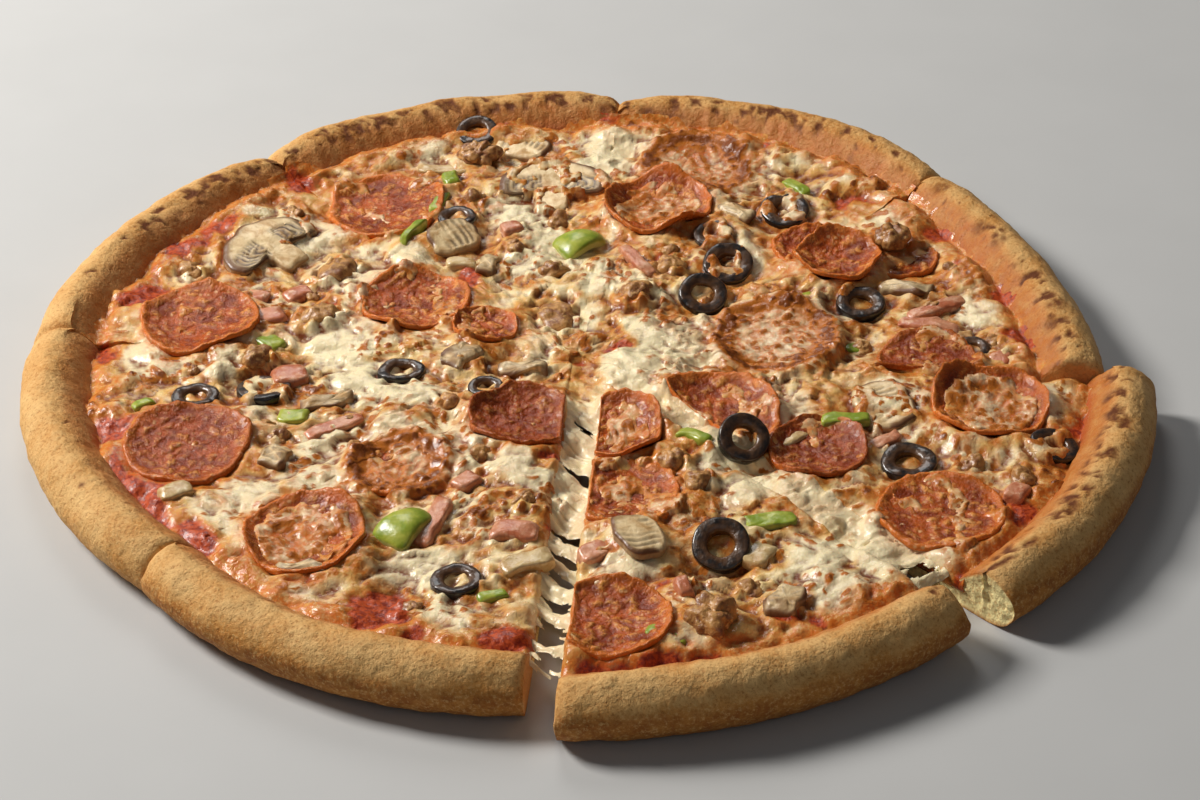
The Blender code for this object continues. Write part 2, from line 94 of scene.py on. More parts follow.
SHARP_ANGLE = 76.0
WELD_STEPS_PER_MM = 2000
WORD = 0xFFFFFFFF
WAVE_GAIN = 1.5
SOLID_GAIN = 1.6
TEN_BITS = 1023
CRUMB_SEED = 300


class Slot(Enum):
    """Finishes of the record that a new piece may take."""

    CRUST = "crust"
    CHEESE = "cheese"
    PEPPERONI = "pepperoni"
    OLIVE = "olive"
    MUSHROOM = "mushroom"
    PEPPER = "pepper"
    SAUSAGE = "sausage"
    HAM = "ham"
    ONION = "onion"


class Side(Enum):
    """The two cuts that bound a slice."""

    START = "start"
    END = "end"


def smooth(low: float, high: float, value: Array) -> Array:
    """Ease a value from 0 to 1 between two limits.

    Args:
        low: The value at which the result is 0.
        high: The value at which the result is 1.
        value: The values to ease.

    Returns:
        Values from 0 to 1.
    """
    share = np.clip((value - low) / (high - low), 0.0, 1.0)
    return share * share * (3.0 - 2.0 * share)


def unit(value: Array) -> Array:
    """Keep values between 0 and 1."""
    return np.clip(value, 0, 1)


def lattice(ix: Array, iy: Array, iz: Array, seed: int) -> Array:
    """Turn whole lattice places into scattered whole numbers.

    Args:
        ix: Places along X.
        iy: Places along Y.
        iz: Places along Z.
        seed: Which of the many scatters to use.

    Returns:
        Whole numbers from 0 to 2**32 - 1.
    """
    mixed = (ix * 73856093) ^ (iy * 19349663) ^ (iz * 83492791) ^ (seed * 2654435761)
    mixed &= WORD
    for _ in range(2):
        mixed = ((mixed ^ (mixed >> 16)) * 0x45D9F3B) & WORD
    return mixed ^ (mixed >> 16)


def waves(x: Array, y: Array, length: float, seed: int, z: Array | float = 0.0) -> Array:
    """Return smooth gradient noise whose bumps are about one length across.

    Args:
        x, y: Places.
        length: Size of the bumps, in the units of x and y.
        seed: Which noise to use.
        z: Places along Z.

    Returns:
        Values between about -1 and 1.
    """
    x, y, z = np.broadcast_arrays(np.asarray(x, float), np.asarray(y, float), np.asarray(z, float))
    corner = [np.floor(part / length) for part in (x, y, z)]
    inside = [part / length - low for part, low in zip((x, y, z), corner)]
    eased = [part ** 3 * (part * (part * 6 - 15) + 10) for part in inside]
    cell = [low.astype(np.int64) for low in corner]
    total = np.zeros(x.shape)
    for dx in (0, 1):
        for dy in (0, 1):
            for dz in (0, 1):
                key = lattice(cell[0] + dx, cell[1] + dy, cell[2] + dz, seed)
                slope_x = (key & TEN_BITS) / 511.5 - 1
                slope_y = ((key >> 10) & TEN_BITS) / 511.5 - 1
                slope_z = ((key >> 20) & TEN_BITS) / 511.5 - 1
                value = (slope_x * (inside[0] - dx) + slope_y * (inside[1] - dy)
                         + slope_z * (inside[2] - dz))
                share = ((eased[0] if dx else 1 - eased[0]) * (eased[1] if dy else 1 - eased[1])
                         * (eased[2] if dz else 1 - eased[2]))
                total += share * value
    return WAVE_GAIN * total


def cells(x: Array, y: Array, size: float, seed: int) -> Pair:
    """Return how far each place is from the nearest of many scattered points.

    Args:
        x, y: Places.
        size: Mean distance between the points.
        seed: Which scatter to use.

    Returns:
        The distances, and for each place a number from 0 to 1 that belongs to its nearest point.
    """
    gx, gy = x / size, y / size
    ix, iy = np.floor(gx).astype(np.int64), np.floor(gy).astype(np.int64)
    best = np.full(x.shape, 9.0)
    owner = np.zeros(x.shape)
    for dx in (-1, 0, 1):
        for dy in (-1, 0, 1):
            key = lattice(ix + dx, iy + dy, np.zeros_like(ix), seed)
            px = ix + dx + (key & TEN_BITS) / TEN_BITS
            py = iy + dy + ((key >> 10) & TEN_BITS) / TEN_BITS
            away = np.hypot(gx - px, gy - py)
            nearer = away < best
            best = np.where(nearer, away, best)
            owner = np.where(nearer, ((key >> 20) & TEN_BITS) / TEN_BITS, owner)
    return best * size, owner


def solid_noise(x: Array, y: Array, length: float, layer: float = 0.0) -> Array:
    """Return the noise that shapes the solids, for many places at once.

    Args:
        x, y: Places.
        length: Size of the bumps, in millimetres.
        layer: Which layer of the noise.

    Returns:
        Values between about -1 and 1.
    """
    places = zip(np.ravel(x) / length, np.ravel(y) / length)
    values = [SOLID_GAIN * noise.noise(Vector((px, py, layer))) for px, py in places]
    return np.array(values).reshape(np.shape(x))


class BroadSwell:
    """The broad and the middling swells of the cheese, as the solids have them."""

    def __init__(self, half: float = 204.0, step: float = 1.5) -> None:
        """Sample both swells on a square grid.

        Args:
            half: Half of the grid's side.
            step: Distance between samples.
        """
        self.half = half
        self.step = step
        places = np.arange(-half, half + step, step)
        x, y = np.meshgrid(places, places, indexing="ij")
        self.broad = CHEESE_TOP + SWELL * solid_noise(x, y, SWELL_LENGTH)
        self.lumps = LUMP * solid_noise(x, y, LUMP_LENGTH, LUMP_LAYER)

    def _read(self, table: Array, x: Array, y: Array) -> Array:
        """Read a table between its samples.

        Args:
            table: The sampled heights.
            x, y: Places.

        Returns:
            The heights at the places.
        """
        fx = np.clip((np.asarray(x, float) + self.half) / self.step, 0, len(table) - 1.001)
        fy = np.clip((np.asarray(y, float) + self.half) / self.step, 0, len(table) - 1.001)
        ix, iy = fx.astype(int), fy.astype(int)
        tx, ty = fx - ix, fy - iy
        near = table[ix, iy] * (1 - ty) + table[ix, iy + 1] * ty
        far = table[ix + 1, iy] * (1 - ty) + table[ix + 1, iy + 1] * ty
        return near * (1 - tx) + far * tx

    def height(self, x: Array, y: Array) -> Array:
        """Return the height of the broad swell."""
        return self._read(self.broad, x, y)

    def lump(self, x: Array, y: Array) -> Array:
        """Return the height of the middling lumps."""
        return self._read(self.lumps, x, y)


SURFACE = BroadSwell()


@dataclass(frozen=True)
class Slice:
    """One of the eight slices: its cuts, how far its rim reaches and where it lies."""

    name: str
    start: float
    end: float
    reach: tuple[float, float, float]
    shift: tuple[float, float] = (0.0, 0.0)
    turn: float = 0.0
    free_sides: tuple[Side, ...] = ()
    crumb_sides: tuple[Side, ...] = ()
    climb: float = 5.0
    bank: float = 0.6

    @property
    def middle(self) -> float:
        """Return the angle half way between the cuts."""
        return (self.start + self.end) / 2

    @property
    def corner(self) -> tuple[float, float]:
        """Return where the slice's own tip lies."""
        out = math.radians(self.middle)
        return (self.shift[0] + SLICE_STANDOFF * math.cos(out),
                self.shift[1] + SLICE_STANDOFF * math.sin(out))

    def reach_at(self, angle: Array) -> Array:
        """Return how far the rim reaches at each angle."""
        first, middle, last = (reach - SLICE_STANDOFF for reach in self.reach)
        t = (angle - self.start) / (self.end - self.start)
        return first * (1 - t) * (1 - 2 * t) + middle * 4 * t * (1 - t) + last * t * (2 * t - 1)

    def place(self, radius: Array, angle: Array) -> Pair:
        """Take distances and angles in the uncut round to where the slice lies.

        Args:
            radius: Distances from the slice's tip.
            angle: Angles in the uncut round.

        Returns:
            Places along X and along Y.
        """
        bearing = np.radians(angle + self.turn)
        return self.corner[0] + radius * np.cos(bearing), self.corner[1] + radius * np.sin(bearing)

    def inward(self, side: Side) -> tuple[float, float]:
        """Return the direction that points into the slice from one of its cuts."""
        angle = self.start if side is Side.START else self.end
        sign = 1 if side is Side.START else -1
        bearing = math.radians(angle + self.turn)
        return -sign * math.sin(bearing), sign * math.cos(bearing)

    def depth(self, side: Side, x: Array, y: Array) -> Array:
        """Return how far places lie inside one of the cuts."""
        into = self.inward(side)
        return (x - self.corner[0]) * into[0] + (y - self.corner[1]) * into[1]

    def meet(self, x: Array, y: Array, short: float, width: float) -> Pair:
        """Move places beside the closed cuts out toward the next slice.

        Args:
            x, y: Places.
            short: How far short of the cut's middle they stay.
            width: How far inside the cut the moving fades out.

        Returns:
            The moved places.
        """
        gap = SLICE_STANDOFF * math.sin(math.radians(self.end - self.start) / 2)
        for side in Side:
            if side in self.free_sides:
                continue
            into = self.inward(side)
            push = (gap - short) * unit(1 - self.depth(side, x, y) / width)
            x, y = x - push * into[0], y - push * into[1]
        return x, y


SLICES = (
    Slice("a", 39.0, 84.0, (174.5, 180.0, 176.3), climb=9.5, bank=3.2),
    Slice("b", -7.0, 39.0, (175.0, 170.5, 174.5), free_sides=(Side.START,), climb=8.0,
          bank=2.2),
    Slice("c", 308.5, 353.0, (174.5, 175.5, 176.0), (13.5, -8.5), 2.5, (Side.START, Side.END),
          (Side.START,)),
    Slice("d", 264.6, 308.5, (177.0, 175.3, 171.5), (8.3, -11.0), 0.0, (Side.START, Side.END)),
    Slice("e", 220.6, 264.6, (175.6, 179.5, 177.0), free_sides=(Side.END,)),
    Slice("f", 174.1, 220.6, (185.0, 181.5, 175.4)),
    Slice("g", 130.0, 174.1, (181.2, 184.3, 185.8), climb=8.0, bank=2.2),
    Slice("h", 84.0, 130.0, (177.0, 180.8, 181.2), climb=9.5, bank=3.2),
)
SLICE_OF = {piece.name: piece for piece in SLICES}


@dataclass(frozen=True)
class Patch:
    """A round patch of the top where something is more or less than elsewhere."""

    x: float
    y: float
    radius: float
    amount: float = 1.0

    def share(self, x: Array, y: Array) -> Array:
        """Return the patch's share at each place, 1 in its middle and 0 outside."""
        away = np.hypot(x - self.x, y - self.y) / self.radius
        return self.amount * unit(1 - away * away) ** 1.5


# Mounds of white cheese, bare sauce, and well toasted cheese
WHITE_MOUNDS = tuple(Patch(*each) for each in (
    (-90, 85, 15), (-60, 145, 16, 0.9), (-75, 50, 14), (-20, 95, 14, 0.9), (-10, 60, 14, 0.9),
    (-80, 12, 15), (-70, 99, 9, 0.8), (-140, 4, 14, 1.1), (-118, -4, 9, 0.9), (-68, -12, 16, 1.2),
    (-80, -43, 13, 1.3), (-97, -52, 8, 0.9), (-103, -74, 13, 1.3), (-62, -45, 12), (-45, -50, 15, 1.1),
    (-52, -22, 12), (-36, -60, 9, 1.1), (-22, -62, 9), (-48, -112, 13, 0.9), (-40, -136, 12, 0.9),
    (-83, -66, 10), (-30, -45, 11), (-88, -124, 9, 0.9), (69, -34, 10, 1.2), (100, -30, 12, 1.3),
    (12, -120, 13, 1.1), (98, -110, 18, 1.3), (72, -112, 13, 0.9), (75, -128, 12, 0.9), (62, 2, 16, 1.2),
    (30, -2, 18, 1.3), (14, -8, 12, 0.8), (24, 16, 12, 0.9), (8, 45, 11, 0.9), (50, 110, 13, 0.8),
    (14, 152, 13, 0.9), (26, 142, 12, 0.8), (-82, 142, 12, 0.9), (115, 88, 12, 0.8), (136, 20, 12, 0.7),
    (60, 62, 9, 0.8), (10, 128, 12, 0.8), (-120, 100, 12, 0.7), (-112, -88, 9, 0.8), (45, -62, 8),
    (-10, 78, 10, 0.7), (92, -100, 10), (53, -78, 10, 0.8), (150, -40, 9, 0.8), (132, -20, 9, 0.8),
    (-14, -70, 8, 0.9), (-58, 66, 9, 0.8), (-140, 40, 9, 0.6), (86, 22, 10, 0.7), (40, 20, 9, 0.7),
))
BARE_SAUCE = tuple(Patch(*each) for each in (
    (-36, 50, 9), (110, 89, 9, 0.9), (117, 86, 8, 0.9), (14, 160, 9, 0.8), (-144, -58, 12, 1.1),
    (-132, -68, 12, 1.1), (-120, -96, 12), (-62, -132, 14, 1.1), (-84, -118, 9, 0.7), (-48, -144, 9, 0.9),
    (6, -166, 12, 1.3), (22, -164, 10, 1.1), (38, -166, 8, 0.9), (-150, -34, 9, 0.9), (-155, 10, 10, 0.7),
    (-148, 44, 12, 0.8), (-138, 76, 12, 0.8), (-124, 90, 11, 0.7), (-70, -58, 7), (-58, -66, 7),
    (134, -92, 9), (112, -130, 8, 0.8), (160, -44, 9, 0.9), (146, 30, 9, 0.7), (150, 4, 10, 0.8),
    (-22, -150, 10), (-134, -82, 10), (60, -142, 7, 0.6), (13, 2, 6, 0.8), (-3, 1, 6, 0.8),
    (100, 95, 9, 0.6), (-98, 118, 9, 0.6), (128, 70, 9, 0.6), (-10, -110, 8, 0.6), (0, -92, 7, 0.5),
))
TOASTED = tuple(Patch(*each) for each in (
    (52, 130, 22, 1.2), (30, 20, 14, 0.9), (72, -82, 20, 1.2), (100, -84, 14, 0.8), (33, -34, 14, 0.8),
    (16, -36, 10, 0.9), (-130, 6, 16, 0.9), (-44, -14, 12, 0.7), (-70, -30, 14, 0.8), (-100, -86, 12),
    (-88, -94, 16, 1.2), (-50, -56, 13, 0.9), (-22, -88, 14, 0.9), (-8, -84, 10), (62, 10, 18, 1.1),
    (84, 16, 13, 0.8), (130, 44, 14, 0.7), (-108, 8, 10, 0.8), (-48, 24, 16, 0.6), (-30, 122, 12, 0.6),
    (60, -105, 12, 0.8), (80, -134, 12, 0.7), (28, -88, 14, 0.9), (44, -90, 12, 0.7), (120, -52, 16, 0.8),
    (148, -72, 12, 0.8), (60, -66, 10, 0.8), (120, -28, 16, 0.8), (-120, 60, 14, 0.6), (-96, 100, 12, 0.5),
    (92, 100, 16, 0.7), (10, 100, 12, 0.5), (-140, -8, 12, 0.8), (-58, 30, 12, 0.7), (14, -64, 14, 0.9),
))


class MeshParts:
    """Points, faces and tones of a mesh while it is put together, in millimetres."""

    def __init__(self, tones: Sequence[str] = ()) -> None:
        """Start an empty mesh.

        Args:
            tones: Names of the numbers that every point carries for its finish.
        """
        self.tones = tuple(tones)
        self.points: list[Array] = []
        self.values: dict[str, list[Array]] = {name: [] for name in self.tones}
        self.faces: list[Array] = []
        self.rings: list[list[int]] = []
        self.count = 0

    def add_points(self, points: Array, tones: Tones | None = None) -> int:
        """Add points and their tones.

        Args:
            points: The points, one a row.
            tones: The tones of the points, 0 for a name that is left out.

        Returns:
            The number of the first of them.
        """
        flat = np.asarray(points, float).reshape(-1, 3)
        first = self.count
        self.points.append(flat)
        for name in self.tones:
            value = (tones or {}).get(name, 0.0)
            self.values[name].append(np.broadcast_to(np.ravel(value), (len(flat),)).astype(float))
        self.count += len(flat)
        return first

    def add_grid(self, points: Array, tones: Tones | None = None, closed: bool = False,
                 flip: bool = False) -> int:
        """Add a grid of points with four-cornered faces between them.

        Args:
            points: The points, in rows and columns.
            tones: The tones of the points.
            closed: Whether the last column joins the first.
            flip: Whether the faces look the other way.

        Returns:
            The number of the first point.
        """
        rows, columns = points.shape[:2]
        first = self.add_points(points, tones)
        last = columns if closed else columns - 1
        row, column = np.meshgrid(np.arange(rows - 1), np.arange(last), indexing="ij")
        after = (column + 1) % columns
        corners = [row * columns + column, row * columns + after, (row + 1) * columns + after,
                   (row + 1) * columns + column]
        quads = np.stack([corner.ravel() for corner in corners], -1) + first
        self.faces.append(quads[:, ::-1] if flip else quads)
        return first

    def add_shell(self, top: Array, bottom: Array, keep: Array, tones: Tones) -> None:
        """Add a sheet with two sides and with holes.

        Args:
            top: The points of its upper side, in rows and columns.
            bottom: The points of its lower side.
            keep: Which of the faces between them are there.
            tones: The tones of the points.
        """
        rows, columns = top.shape[:2]
        upper, lower = self.add_points(top, tones), self.add_points(bottom, tones)
        index = np.arange(rows * columns).reshape(rows, columns)
        corners = np.stack([index[:-1, :-1], index[:-1, 1:], index[1:, 1:], index[1:, :-1]], -1)
        there = np.pad(keep, 1)
        beside = np.stack([there[:-2, 1:-1], there[1:-1, 2:], there[2:, 1:-1], there[1:-1, :-2]], -1)
        self.faces += [upper + corners[keep], lower + corners[keep][:, ::-1]]
        for side in range(4):
            edge = keep & ~beside[..., side]
            first, last = corners[edge][:, side], corners[edge][:, (side + 1) % 4]
            self.faces.append(np.stack([upper + last, upper + first, lower + first, lower + last], -1))

    def _build(self, name: str, finish: Material, weld: bool) -> bpy.types.Object:
        """Make the object in the frame of the part, in metres.

        Args:
            name: The object's name.
            finish: Its material.
            weld: Whether points in the same place become one.

        Returns:
            The new object.
        """
        points = np.concatenate(self.points)
        faces = [list(face) for part in self.faces for face in part.tolist()] + self.rings
        values = {tone: np.concatenate(parts) for tone, parts in self.values.items()}
        if weld:
            keys = np.round(points * WELD_STEPS_PER_MM).astype(np.int64)
            _, first, owner = np.unique(keys, axis=0, return_index=True, return_inverse=True)
            owner = owner.ravel()
            points = points[first]
            values = {tone: value[first] for tone, value in values.items()}
            faces = self._without_repeats(owner, faces)
        placed = (points + np.array([CUT_CENTRE_X, CUT_CENTRE_Y, 0.0])) * MM
        mesh = bpy.data.meshes.new(name)
        mesh.from_pydata(placed.tolist(), [], faces)
        for tone, value in values.items():
            layer = mesh.attributes.new(tone, "FLOAT", "POINT")
            layer.data.foreach_set("value", value.astype(np.float32))
        mesh.materials.append(finish)
        whole = bmesh.new()
        whole.from_mesh(mesh)
        loose = [corner for corner in whole.verts if not corner.link_faces]
        bmesh.ops.delete(whole, geom=loose, context="VERTS")
        bmesh.ops.recalc_face_normals(whole, faces=whole.faces)
        whole.to_mesh(mesh)
        whole.free()
        mesh.shade_smooth()
        mesh.set_sharp_from_angle(angle=math.radians(SHARP_ANGLE))
        mesh.update()
        made = bpy.data.objects.new(name, mesh)
        bpy.context.scene.collection.objects.link(made)
        return made

    @staticmethod
    def _without_repeats(owner: Array, faces: list[list[int]]) -> list[list[int]]:
        """Renumber the faces' corners and drop the corners and faces that fall together.

        Args:
            owner: The new number of each point.
            faces: The faces by the old numbers.

        Returns:
            The faces by the new numbers.
        """
        kept = []
        for face in faces:
            ring = owner[face].tolist()
            ring = [corner for place, corner in enumerate(ring) if corner != ring[place - 1]]
            if len(ring) > 2 and len(set(ring)) == len(ring):
                kept.append(ring)
        return kept

    def hand_over(self, name: str, slot: Slot, nodes: Sequence[str] = (), weld: bool = True) -> None:
        """Make the piece with the material of its slot, let it ride on the part and hide the solids that it
        stands for.

        Args:
            name: The piece's name.
            slot: Its slot in the record.
            nodes: The solids that it stands for.
            weld: Whether points in the same place become one.
        """
        piece = self._build(name, DRESSING[slot], weld)
        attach(piece, BODY)
        if nodes:
            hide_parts(*nodes)
        LOG.info("%s: %d faces", piece.name, len(piece.data.polygons))


def grid_normals(points: Array) -> Array:
    """Return the unit normals of points in rows and columns."""
    normal = np.cross(np.gradient(points, axis=1), np.gradient(points, axis=0))
    return normal / np.maximum(np.linalg.norm(normal, axis=-1, keepdims=True), 1e-9)


class Recipe:
    """A node material that is put together step by step."""

    def __init__(self, name: str) -> None:
        """Start an empty material of that name."""
        self.material = bpy.data.materials.new(name)
        self.material.use_nodes = True
        self.tree = self.material.node_tree
        self.shader = self.tree.nodes["Principled BSDF"]
        self.place = self._add("TexCoord").outputs["Object"]

    def _feed(self, socket: Socket, value: object) -> None:
        """Link a socket to another one, or set it to a number or a colour."""
        if isinstance(value, Socket):
            self.tree.links.new(value, socket)
        else:
            socket.default_value = (*value, 1.0) if isinstance(value, tuple) else value

    def _add(self, kind: str, **inputs: object) -> bpy.types.Node:
        """Add a node.

        Args:
            kind: What its type is called after ShaderNode.
            inputs: What feeds its sockets, by their names with _ for a space.

        Returns:
            The node.
        """
        node = self.tree.nodes.new("ShaderNode" + kind)
        for name, value in inputs.items():
            self._feed(node.inputs[name.replace("_", " ")], value)
        return node

    def set(self, **values: object) -> None:
        """Set values on the shader's own sockets, by their names with _ for a space."""
        for name, value in values.items():
            self._feed(self.shader.inputs[name.replace("_", " ")], value)

    def tone(self, name: str) -> Socket:
        """Return one of the mesh's own numbers."""
        node = self._add("Attribute")
        node.attribute_name = name
        return node.outputs["Fac"]

    def noise(self, grain: float, detail: float = 3.0, rough: float = 0.5, twist: float = 0.0) -> Socket:
        """Return fractal noise.

        Args:
            grain: Size of its bumps in millimetres.
            detail: How many finer layers it has.
            rough: How strong the finer layers are.
            twist: How far it is distorted.

        Returns:
            The noise, about 0.5 on average.
        """
        node = self._add("TexNoise", Vector=self.place, Scale=MM_PER_METRE / grain, Detail=detail,
                         Roughness=rough, Distortion=twist)
        return node.outputs["Fac"]

    def specks(self, grain: float, uneven: float = 1.0) -> Socket:
        """Return the distance to the nearest of many scattered points, in grains."""
        node = self._add("TexVoronoi", Vector=self.place, Scale=MM_PER_METRE / grain, Randomness=uneven)
        return node.outputs["Distance"]

    def ease(self, value: Socket, low: float, high: float, first: float = 0.0, last: float = 1.0) -> Socket:
        """Ease a value from one number to another between two limits.

        Args:
            value: What is eased.
            low: Its value at the start.
            high: Its value at the end.
            first: The result at the start.
            last: The result at the end.

        Returns:
            The eased value.
        """
        node = self._add("MapRange", Value=value, From_Min=low, From_Max=high, To_Min=first, To_Max=last)
        node.interpolation_type = "SMOOTHSTEP"
        return node.outputs["Result"]

    def _sum(self, kind: str, *terms: object) -> Socket:
        """Return the result of one sum on sockets or numbers, kept between 0 and 1."""
        node = self._add("Math")
        node.operation = kind
        node.use_clamp = True
        for socket, term in zip(node.inputs, terms):
            self._feed(socket, term)
        return node.outputs["Value"]

    def times(self, first: object, second: object) -> Socket:
        """Return the product of two sockets or numbers, kept between 0 and 1."""
        return self._sum("MULTIPLY", first, second)

    def plus(self, first: object, second: object) -> Socket:
        """Return two sockets or numbers added up, kept between 0 and 1."""
        return self._sum("ADD", first, second)

    def blend(self, share: object, first: object, second: object) -> Socket:
        """Blend two colours.

        Args:
            share: How much of the second colour.
            first: A colour or a socket.
            second: A colour or a socket.

        Returns:
            The blended colour.
        """
        node = self._add("Mix")
        node.data_type = "RGBA"
        for number, value in ((0, share), (6, first), (7, second)):
            self._feed(node.inputs[number], value)
        return node.outputs[2]

    def bump(self, height: Socket, depth: float, below: Socket | None = None) -> Socket:
        """Roughen the surface by a height.

        Args:
            height: The height, from 0 to 1.
            depth: How many millimetres 1 stands for.
            below: A bump that this one lies on.

        Returns:
            The new normal.
        """
        node = self._add("Bump", Height=height, Distance=depth * MM)
        if below is not None:
            self._feed(node.inputs["Normal"], below)
        return node.outputs["Normal"]

    def finish(self, colour: object, roughness: object, normal: Socket | None = None) -> Material:
        """Connect colour, roughness and normal to the shader.

        Args:
            colour: The colour or its socket.
            roughness: A socket or a number.
            normal: The normal's socket.

        Returns:
            The material.
        """
        self.set(Base_Color=colour, Roughness=roughness)
        if normal is not None:
            self.set(Normal=normal)
        return self.material


@dataclass(frozen=True)
class CrustFinish:
    """Baked dough: matte tan with a fine grain, browned on its crest and dark where it blistered; painted
    shade darkens the front and right sides, and painted light lightens the left side and the torn crumb.
    """

    pale: Colour = (0.75, 0.47, 0.185)
    golden: Colour = (0.56, 0.245, 0.052)
    brown: Colour = (0.33, 0.110, 0.018)
    glazed: Colour = (0.48, 0.128, 0.017)
    blister: Colour = (0.13, 0.034, 0.007)
    # pale crumb of the torn ends, brightened beyond its own colour as painted light on the torn face
    crumb: Colour = (1.0, 0.86, 0.42)
    stain: Colour = (0.40, 0.055, 0.012)

    def material(self) -> Material:
        """Make the material."""
        mix = Recipe("baked_crust")
        grain = mix.noise(1.1, 3.0, 0.70)
        cloud = mix.noise(11.0, 3.0, 0.55)
        streak = mix.noise(4.0, 4.0, 0.6, 0.3)
        # the bake tone is browning with painted shade on the front and right sides mixed in
        bake_and_shade = mix.tone("bake_and_shade")
        cloudy = mix.times(mix.ease(cloud, 0.32, 0.72), 0.55)
        tan = mix.blend(mix.plus(mix.times(bake_and_shade, 0.8), cloudy), self.pale, self.golden)
        browned = mix.times(mix.ease(bake_and_shade, 0.45, 1.1), mix.ease(streak, 0.35, 0.65, 0.35, 1.0))
        dark = mix.blend(browned, tan, self.brown)
        speckled = mix.blend(mix.ease(grain, 0.50, 0.68, 0.0, 0.60), dark, self.pale)
        pitted = mix.blend(mix.ease(grain, 0.48, 0.32, 0.0, 0.60), speckled, self.brown)
        slope = mix.times(mix.tone("slope"), mix.ease(streak, 0.25, 0.6, 0.55, 1.0))
        glazed = mix.blend(slope, pitted, self.glazed)
        stained = mix.blend(mix.tone("stain"), glazed, self.stain)
        spots = mix.times(mix.tone("blister"), mix.ease(streak, 0.3, 0.55, 0.55, 1.0))
        burnt = mix.blend(spots, stained, self.blister)
        pores = mix.specks(1.4)
        crumbly = mix.blend(mix.ease(pores, 0.20, 0.55, 0.45, 0.0), self.crumb, self.golden)
        colour = mix.blend(mix.tone("crumb"), burnt, crumbly)
        fine = mix.bump(grain, 0.34)
        normal = mix.bump(mix.noise(2.6, 4.0, 0.6), 0.70, fine)
        rough = mix.ease(mix.tone("slope"), 0.2, 1.0, 0.72, 0.38)
        mix.set(Specular_IOR_Level=0.22, Subsurface_Weight=0.0)
        return mix.finish(colour, rough, normal)


@dataclass(frozen=True)
class CheeseFinish:
    """Melted cheese: cream to yellow, orange with oil, browned in spots, with sauce showing through and
    painted shade in its hollows.
    """

    cream: Colour = (0.90, 0.76, 0.47)
    yellow: Colour = (0.82, 0.54, 0.18)
    thin: Colour = (0.56, 0.18, 0.022)
    # painted shade: the dark red-brown laid into the hollows of the cheese
    crevice_shade_colour: Colour = (0.17, 0.034, 0.004)
    oil: Colour = (0.62, 0.145, 0.012)
    toast: Colour = (0.48, 0.145, 0.018)
    char: Colour = (0.14, 0.030, 0.005)
    sauce: Colour = (0.50, 0.070, 0.008)
    deep_sauce: Colour = (0.22, 0.018, 0.004)

    def material(self) -> Material:
        """Make the material."""
        mix = Recipe("melted_cheese")
        cloud = mix.noise(9.0, 4.0, 0.55, 0.4)
        fine = mix.noise(1.6, 4.0, 0.6, 0.2)
        milky = mix.plus(mix.tone("white"), mix.ease(cloud, 0.42, 0.62, 0.0, 0.5))
        base = mix.blend(milky, self.yellow, self.cream)
        thin_share = mix.times(mix.tone("thin"), mix.ease(fine, 0.3, 0.6, 0.5, 1.0))
        over_sauce = mix.blend(thin_share, base, self.thin)
        # painted shade in the hollows, from the mesh's hollow tone
        low = mix.times(mix.tone("hollow"), mix.ease(fine, 0.3, 0.6, 0.6, 1.0))
        deep = mix.blend(low, over_sauce, self.crevice_shade_colour)
        oily = mix.times(mix.tone("oil"), mix.ease(fine, 0.35, 0.62, 0.2, 0.8))
        tinted = mix.blend(oily, deep, self.oil)
        red = mix.blend(mix.ease(fine, 0.35, 0.62), self.deep_sauce, self.sauce)
        sauced = mix.blend(mix.tone("sauce"), tinted, red)
        rusty = mix.blend(mix.ease(mix.tone("toast"), 0.06, 0.50), sauced, self.toast)
        charred = mix.blend(mix.ease(mix.tone("toast"), 0.60, 1.20, 0.0, 0.8), rusty, self.char)
        pores = mix.bump(mix.noise(0.7, 2.0, 0.5), 0.10)
        normal = mix.bump(mix.noise(2.2, 3.0, 0.5, 0.6), 0.42, pores)
        rough = mix.plus(mix.ease(fine, 0.3, 0.7, 0.18, 0.38), mix.times(mix.tone("sauce"), 0.16))
        mix.set(Subsurface_Weight=0.08, Subsurface_Scale=0.002, Specular_IOR_Level=0.32,
                Coat_Weight=0.10, Coat_Roughness=0.07)
        mix.shader.inputs["Subsurface Radius"].default_value = (1.0, 0.55, 0.25)
        return mix.finish(charred, rough, normal)


